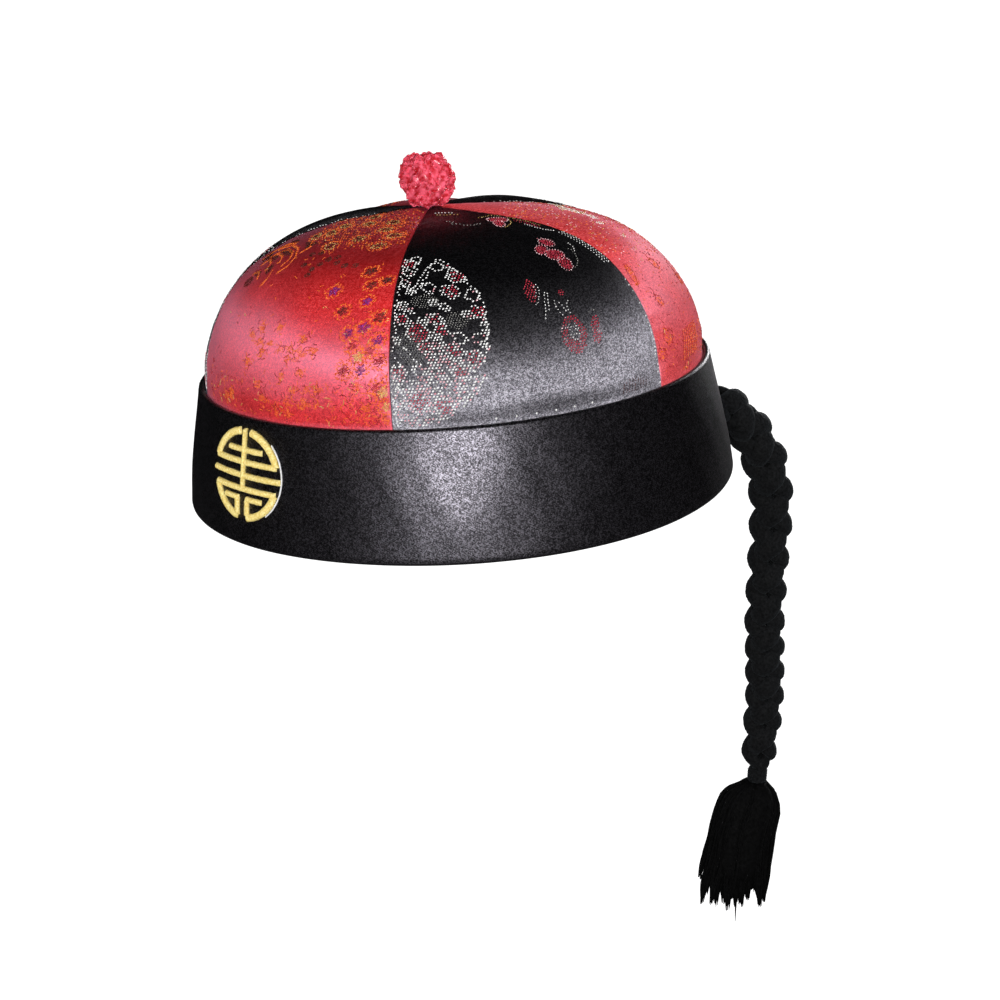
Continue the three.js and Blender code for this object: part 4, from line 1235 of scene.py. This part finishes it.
def side_brocade():
    """The cloth of the second red gore: pale gold at its top, a leaf, flowers and ribs."""
    cloth = Cloth()
    for oval in SIDE_PALE:
        spots = lattice(*oval[:2], max(oval[2:4]), 0.6, 0.5)
        solid = inside_oval(spots, *oval)
        pale = rng.uniform(size=len(spots)) < 0.6
        cloth.add("silver", fill(spots[solid & pale], 0.9, 0.1))
        cloth.add("gold", fill(spots[solid & ~pale], 0.9, 0.1))
    spots = lattice(0, 60, 30, 1.0, 0.85)
    spots = thinned(spots, 0.26 * (spots[:, 1] > 38))
    cloth.share_out(spots, scatter, 1.0, gold=0.14, orange=0.5, pink=0.8, crimson=1)
    for x, y, size in SIDE_FLOWERS:
        scribble(cloth, x, y, size + 0.8, 0.6)
        path = blossom_path(x, y, size + 0.6, 5, x, 0.3)
        cloth.add("crimson", along_path(path, 0.7, 0.9, True, 0.1))
        leaf = [(x - 0.8, y + size), (x + 0.6, y + size + 2.4), (x - 0.4, y + size + 4.2)]
        cloth.add("crimson", along_path(leaf, 0.7, 0.9))
    for shift in (-1.1, -0.4, 0.3, 1.0):
        leaf = [(-24.5 + shift, 41), (-26.2 + 0.6 * shift, 37.5), (-28.6 + shift, 33)]
        cloth.add("orange", along_path(leaf, 0.75, 0.9, stray=0.12))
    for shift in (-1.7, 1.6):
        leaf = [(-24.5, 42), (-26.3 + shift, 37.5), (-29.2, 32.4)]
        cloth.add("crimson", along_path(leaf, 0.7, 0.9))
    for rib in range(8):
        x = -22.5 + 1.9 * rib
        line = np.array([(x - 2.6, 4.0), (x + 2.2, 13.5)])
        cloth.add("crimson", along_path(line, 0.6, 0.85, stray=0.04))
        cloth.add("orange", along_path(line + [0.9, 0], 0.7, 0.85, stray=0.1))
    spots = lattice(0, 20, 44, 1.3, 1.1)
    spots = thinned(spots, np.where(spots[:, 1] < 12, 0.34, 0.16) * (spots[:, 1] < 40))
    cloth.share_out(spots, scatter, 1.0, crimson=0.6, orange=1)
    return cloth


# How wide and high the floats stand on each cloth
FLOATS = {"black": (0.7, 0.22), "red": (0.5, 0.18)}
# How far each gore's cloth is moved, across and up, from the gore that the camera faces
GORE_SHIFTS = [(0, 0), (0, 0), (42, 6), (24, -12), (66, -8), (0, 0)]


def make_brocade():
    cloths = {"black": black_brocade(), "red": red_brocade(), "side": side_brocade()}
    for kind in ("black", "red"):
        parts = {}
        for gore in range(1 if kind == "red" else 0, GORES, 2):
            rows = cloths[GORE_CLOTHS[gore]].moved(*GORE_SHIFTS[gore])
            if kind == "black":
                rows["silver"] = np.concatenate([rows["silver"], seam_marks(gore)])
            for colour, some in rows.items():
                parts.setdefault(colour, []).append(float_parts(gore, some, *FLOATS[kind]))
        for colour, some in parts.items():
            make_piece(f"{kind}_cloth_{colour}", some, THREADS[colour])


make_brocade()


# Stitches along the band's top edge

STITCHES = 230
STITCH_RADIUS = 0.2


def make_stitches():
    azimuth = 2 * np.pi * (np.arange(STITCHES)[:, None] + np.array([0.14, 0.5, 0.86])) / STITCHES
    height = BAND_HEIGHT - 0.35 + 0.25 * np.array([-1.0, 1.0, -1.0])
    radius = band_radius(BAND_HEIGHT) - 0.9 + 0.3 * np.array([0.0, 1.0, 0.0])
    lines = radius[None, :, None] * outward(azimuth)
    lines[..., 2] = height + rng.normal(0, 0.08, (STITCHES, 1))
    part = threads(lines, STITCH_RADIUS, 5, np.array([0.0, 0.0, 1.0]))
    return make_piece("band_stitches", [part], SEAM_THREAD)


make_stitches()


# Emblem

BADGE_BARS = [
    ((0, 0.99), (0, -0.33), 1.5, 1.5), ((-0.5, 0.53), (0.5, 0.53), 1.9, 1.2),
    ((-0.9, 0.27), (0.9, 0.27), 2.0, 1.25), ((-1, -0.02), (1, -0.02), 2.0, 1.2),
    ((-0.9, -0.31), (0.9, -0.31), 2.0, 1.25), ((-0.17, -0.52), (-0.17, -0.9), 2.1, 1.3),
    ((0.13, -0.52), (0.13, -0.9), 2.1, 1.3), ((-0.13, -0.52), (-0.58, -0.52), 1.9, 1.2),
    ((0.09, -0.52), (0.54, -0.52), 1.9, 1.2),
]
BADGE_ARCS = [(17, 81), (163, 99), (-20, -82), (200, 260)]
ARC_SHARE = 0.93
ARC_WIDTH = 2.5
ARC_HEIGHT = 1.35
# The pale edge beside the emblem: from and to what angle, in how many steps, and its size
EDGE_ARC = (-52, 46, 60)
EDGE_SHARE = 1.03
EDGE_WIDTH = 0.5
EDGE_HEIGHT = 0.45
STITCH_PITCH = 0.42
STITCH_SINK = 0.25


def on_band(across, up, out):
    slope = math.atan2(RIM_RADIUS - BAND_TOP_RADIUS, BAND_HEIGHT)
    z = BADGE_HEIGHT_ON_BAND + up * math.cos(slope)
    radius = band_radius(z) + (GAP + out) * math.cos(slope)
    place = radius[..., None] * outward(across / band_radius(z))
    place[..., 2] = z + (GAP + out) * math.sin(slope)
    return place


def satin_stroke(path, width, height):
    """A raised stroke of satin stitch: threads laid side by side across a padded line."""
    path = np.asarray(path, dtype=float)
    gone = distances(path)
    length = gone[-1]
    stitches = max(4, round(length / STITCH_PITCH))
    even = np.linspace(0, length, 4 * stitches + 1)
    line = at(even, gone, path)
    way = unit(np.gradient(line, axis=0))
    ridge = np.abs(np.sin(np.pi * even / length * stitches))
    end = np.minimum(1, np.minimum(even, length - even) / 0.7 + 0.35)
    turn = np.linspace(0, np.pi, 11)
    share, rise = np.cos(turn), np.sin(turn) ** 0.75
    stray = 1 + 0.05 * np.repeat(rng.normal(size=stitches + 1), 4)[:len(even)]
    reach = (width / 2 * (0.93 + 0.1 * ridge) * stray)[:, None] * share
    lift = (height * (0.86 + 0.14 * ridge) * end)[:, None] * rise - STITCH_SINK
    across = line[:, :1] + way[:, 1:] * reach
    up = line[:, 1:] - way[:, :1] * reach
    return loft(on_band(across, up, lift))


def badge_arc(arc, share, width, height):
    angle = np.radians(np.linspace(*arc))
    return satin_stroke(share * BADGE_HALVES * polar(1, angle), width, height)


def make_badge():
    parts = [satin_stroke([start * BADGE_HALVES, end * BADGE_HALVES], width, height)
             for start, end, width, height in BADGE_BARS]
    parts += [badge_arc((*arc, 40), ARC_SHARE, ARC_WIDTH, ARC_HEIGHT) for arc in BADGE_ARCS]
    edge = badge_arc(EDGE_ARC, EDGE_SHARE, EDGE_WIDTH, EDGE_HEIGHT)
    make_piece("badge_edge", [edge], THREADS["silver"])
    return make_piece("badge_stitching", parts, BADGE_GOLD)


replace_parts(make_badge(), "badge")


# Button

CURLS = 760
SHANK_RADIUS = 2.4
# Where the shank starts and ends, from the button's middle
SHANK = [[0.2, 0.2, -10.6], [0.2, 0.2, -5.0]]


def knot_line(turn):
    phase = BUTTON_BIGHTS * turn / BUTTON_LEADS
    latitude = BUTTON_LATITUDE * np.cos(phase)
    lift = BUTTON_CORE + BUTTON_CORD_LIFT * np.sin(2 * phase)
    place = (lift * np.cos(latitude))[..., None] * outward(turn)
    place[..., 2] = lift * np.sin(latitude)
    return place


def make_button():
    """The knotted ball: a round cord, the curls of thread on it, its core and its shank."""
    line = knot_line(BUTTON_LEADS * full_turn(480))
    ahead = unit(np.roll(line, -1, axis=0) - np.roll(line, 1, axis=0))
    side = unit(np.cross(ahead, unit(line)))
    rise = np.cross(ahead, side)
    rings = (BUTTON_CORD_RADIUS - 0.25) * wheel(full_turn(14), side[:, None], rise[:, None])
    parts = [ring_solid(line[:, None] + rings + BUTTON)]
    index = rng.integers(0, len(line), CURLS)
    heading = wheel(rng.uniform(0, 2 * np.pi, CURLS), side[index], rise[index])
    foot = line[index] + (BUTTON_CORD_RADIUS - 0.35) * heading + BUTTON
    way = unit(np.cross(heading, rng.normal(size=(CURLS, 3))))
    lean = unit(0.45 * heading + np.cross(heading, way))
    bend = np.linspace(-0.3, np.pi + 0.3, 8)
    curl = rng.uniform(0.55, 0.95, CURLS)[:, None, None]
    curls = foot[:, None] + curl * wheel(bend, way[:, None], lean[:, None])
    parts.append(threads(curls, 0.3, 6, np.cross(way, lean)[:, None]))
    latitude = np.linspace(-np.pi / 2, np.pi / 2, 16)[1:-1]
    core = (BUTTON_CORE * np.cos(latitude))[:, None, None] * outward(full_turn(24))[None]
    core[..., 2] = (BUTTON_CORE * np.sin(latitude))[:, None]
    parts.append(loft(core + BUTTON))
    parts.append(threads((SHANK + BUTTON)[None], SHANK_RADIUS, 24, np.array([1.0, 0.0, 0.0])))
    return make_piece("button_knot", parts, BUTTON_CORD)


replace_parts(make_button(), "crown_button")


# Seat of the braid

SEAT_HALF_WIDTH = 11.5
SEAT_HALF_HEIGHT = 9
SEAT_THICKNESS = 2.6
# How far out each ring of the pad lies, as a share of its thickness, and its size
SEAT_RINGS = [(0, 0.05), (0, 0.6), (0, 0.98), (0.35, 1.02), (0.75, 0.94), (1, 0.72), (1.04, 0.4),
              (1.05, 0.05)]


def make_seat():
    """The plush pad that the braid is sewn to."""
    turn = full_turn(72)
    sheet = []
    for out, share in SEAT_RINGS:
        z = BRAID_ROUTE[0][1] + share * SEAT_HALF_HEIGHT * np.sin(turn)
        azimuth = BRAID_AZIMUTH + share * SEAT_HALF_WIDTH * np.cos(turn) / band_radius(z)
        row = (band_radius(z) + GAP + out * SEAT_THICKNESS)[:, None] * outward(azimuth)
        row[:, 2] = z
        sheet.append(row)
    sheet = np.array(sheet)
    heading = unit(sheet - sheet.mean(axis=(0, 1)))
    sheet = sheet + heading * (0.12 * lumps(sheet, 1.8, 9))[..., None]
    fibres = fuzz(sheet[2:], heading[2:], count=500, length=0.8, width=0.05)
    return make_piece("braid_seat", [loft(sheet), fibres], PLUSH)


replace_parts(make_seat(), "braid_base")


# Floor, lights and background

FLOOR_HEIGHT = -240
FLOOR_HALF = 3000
# How bright the floor and the background are where the camera sees them
BACKDROP = 1.2


def make_floor():
    nodes = Nodes("floor")
    seen = nodes.add("ShaderNodeLightPath").outputs["Is Camera Ray"]
    nodes.set(Base_Color=(0.05, 0.05, 0.05, 1), Roughness=0.9, Emission_Color=(1, 1, 1, 1),
              Emission_Strength=nodes.math("MULTIPLY", seen, BACKDROP))
    mesh = bpy.data.meshes.new("floor")
    corners = [(x * FLOOR_HALF * MM, y * FLOOR_HALF * MM, FLOOR_HEIGHT * MM)
               for x, y in ((-1, -1), (1, -1), (1, 1), (-1, 1))]
    mesh.from_pydata(corners, [], [(0, 1, 2, 3)])
    mesh.materials.append(nodes.material)
    floor = add_object("floor", mesh)


# Each light's name, azimuth, elevation, distance, size, power and whether it shows in the gloss
LIGHTS = [
    ("key", 48, 13, 680, (120, 60), 3.3, True),
    ("back", 194, 8, 1100, (260, 350), 3.8, True),
    ("fill_left", -10, 14, 900, (500, 500), 2.6, False),
    ("fill_right", 125, 42, 900, (400, 400), 5.4, False),
    ("fill_back", 228, 30, 900, (500, 500), 3.0, False),
]
LIGHTS_AIM = Vector((0, 0, 30))
# How bright the background is for everything but the camera
AMBIENT = 0.006


def make_light(name, azimuth, elevation, distance, size, power, glossy):
    data = bpy.data.lights.new(name, "AREA")
    data.shape = "RECTANGLE"
    data.size, data.size_y = size[0] * MM, size[1] * MM
    data.energy = power
    light = add_object(name, data)
    elevation = math.radians(elevation)
    place = math.cos(elevation) * outward(math.radians(azimuth)) * distance
    place = Vector(place) + Vector((0, 0, math.sin(elevation) * distance))
    light.location = place * MM
    light.rotation_euler = (place - LIGHTS_AIM).to_track_quat("Z", "Y").to_euler()
    light.visible_glossy = glossy


def make_world():
    world = bpy.data.worlds.new("studio")
    world.use_nodes = True
    tree = world.node_tree
    shade = tree.nodes["Background"]
    seen = tree.nodes.new("ShaderNodeLightPath").outputs["Is Camera Ray"]
    strength = tree.nodes.new("ShaderNodeMapRange")
    tree.links.new(seen, strength.inputs["Value"])
    strength.inputs["To Min"].default_value = AMBIENT
    strength.inputs["To Max"].default_value = BACKDROP
    tree.links.new(strength.outputs[0], shade.inputs["Strength"])
    shade.inputs["Color"].default_value = (1, 1, 1, 1)
    bpy.context.scene.world = world


make_floor()
for light in LIGHTS:
    make_light(*light)
make_world()
bpy.context.scene.view_settings.view_transform = "Standard"
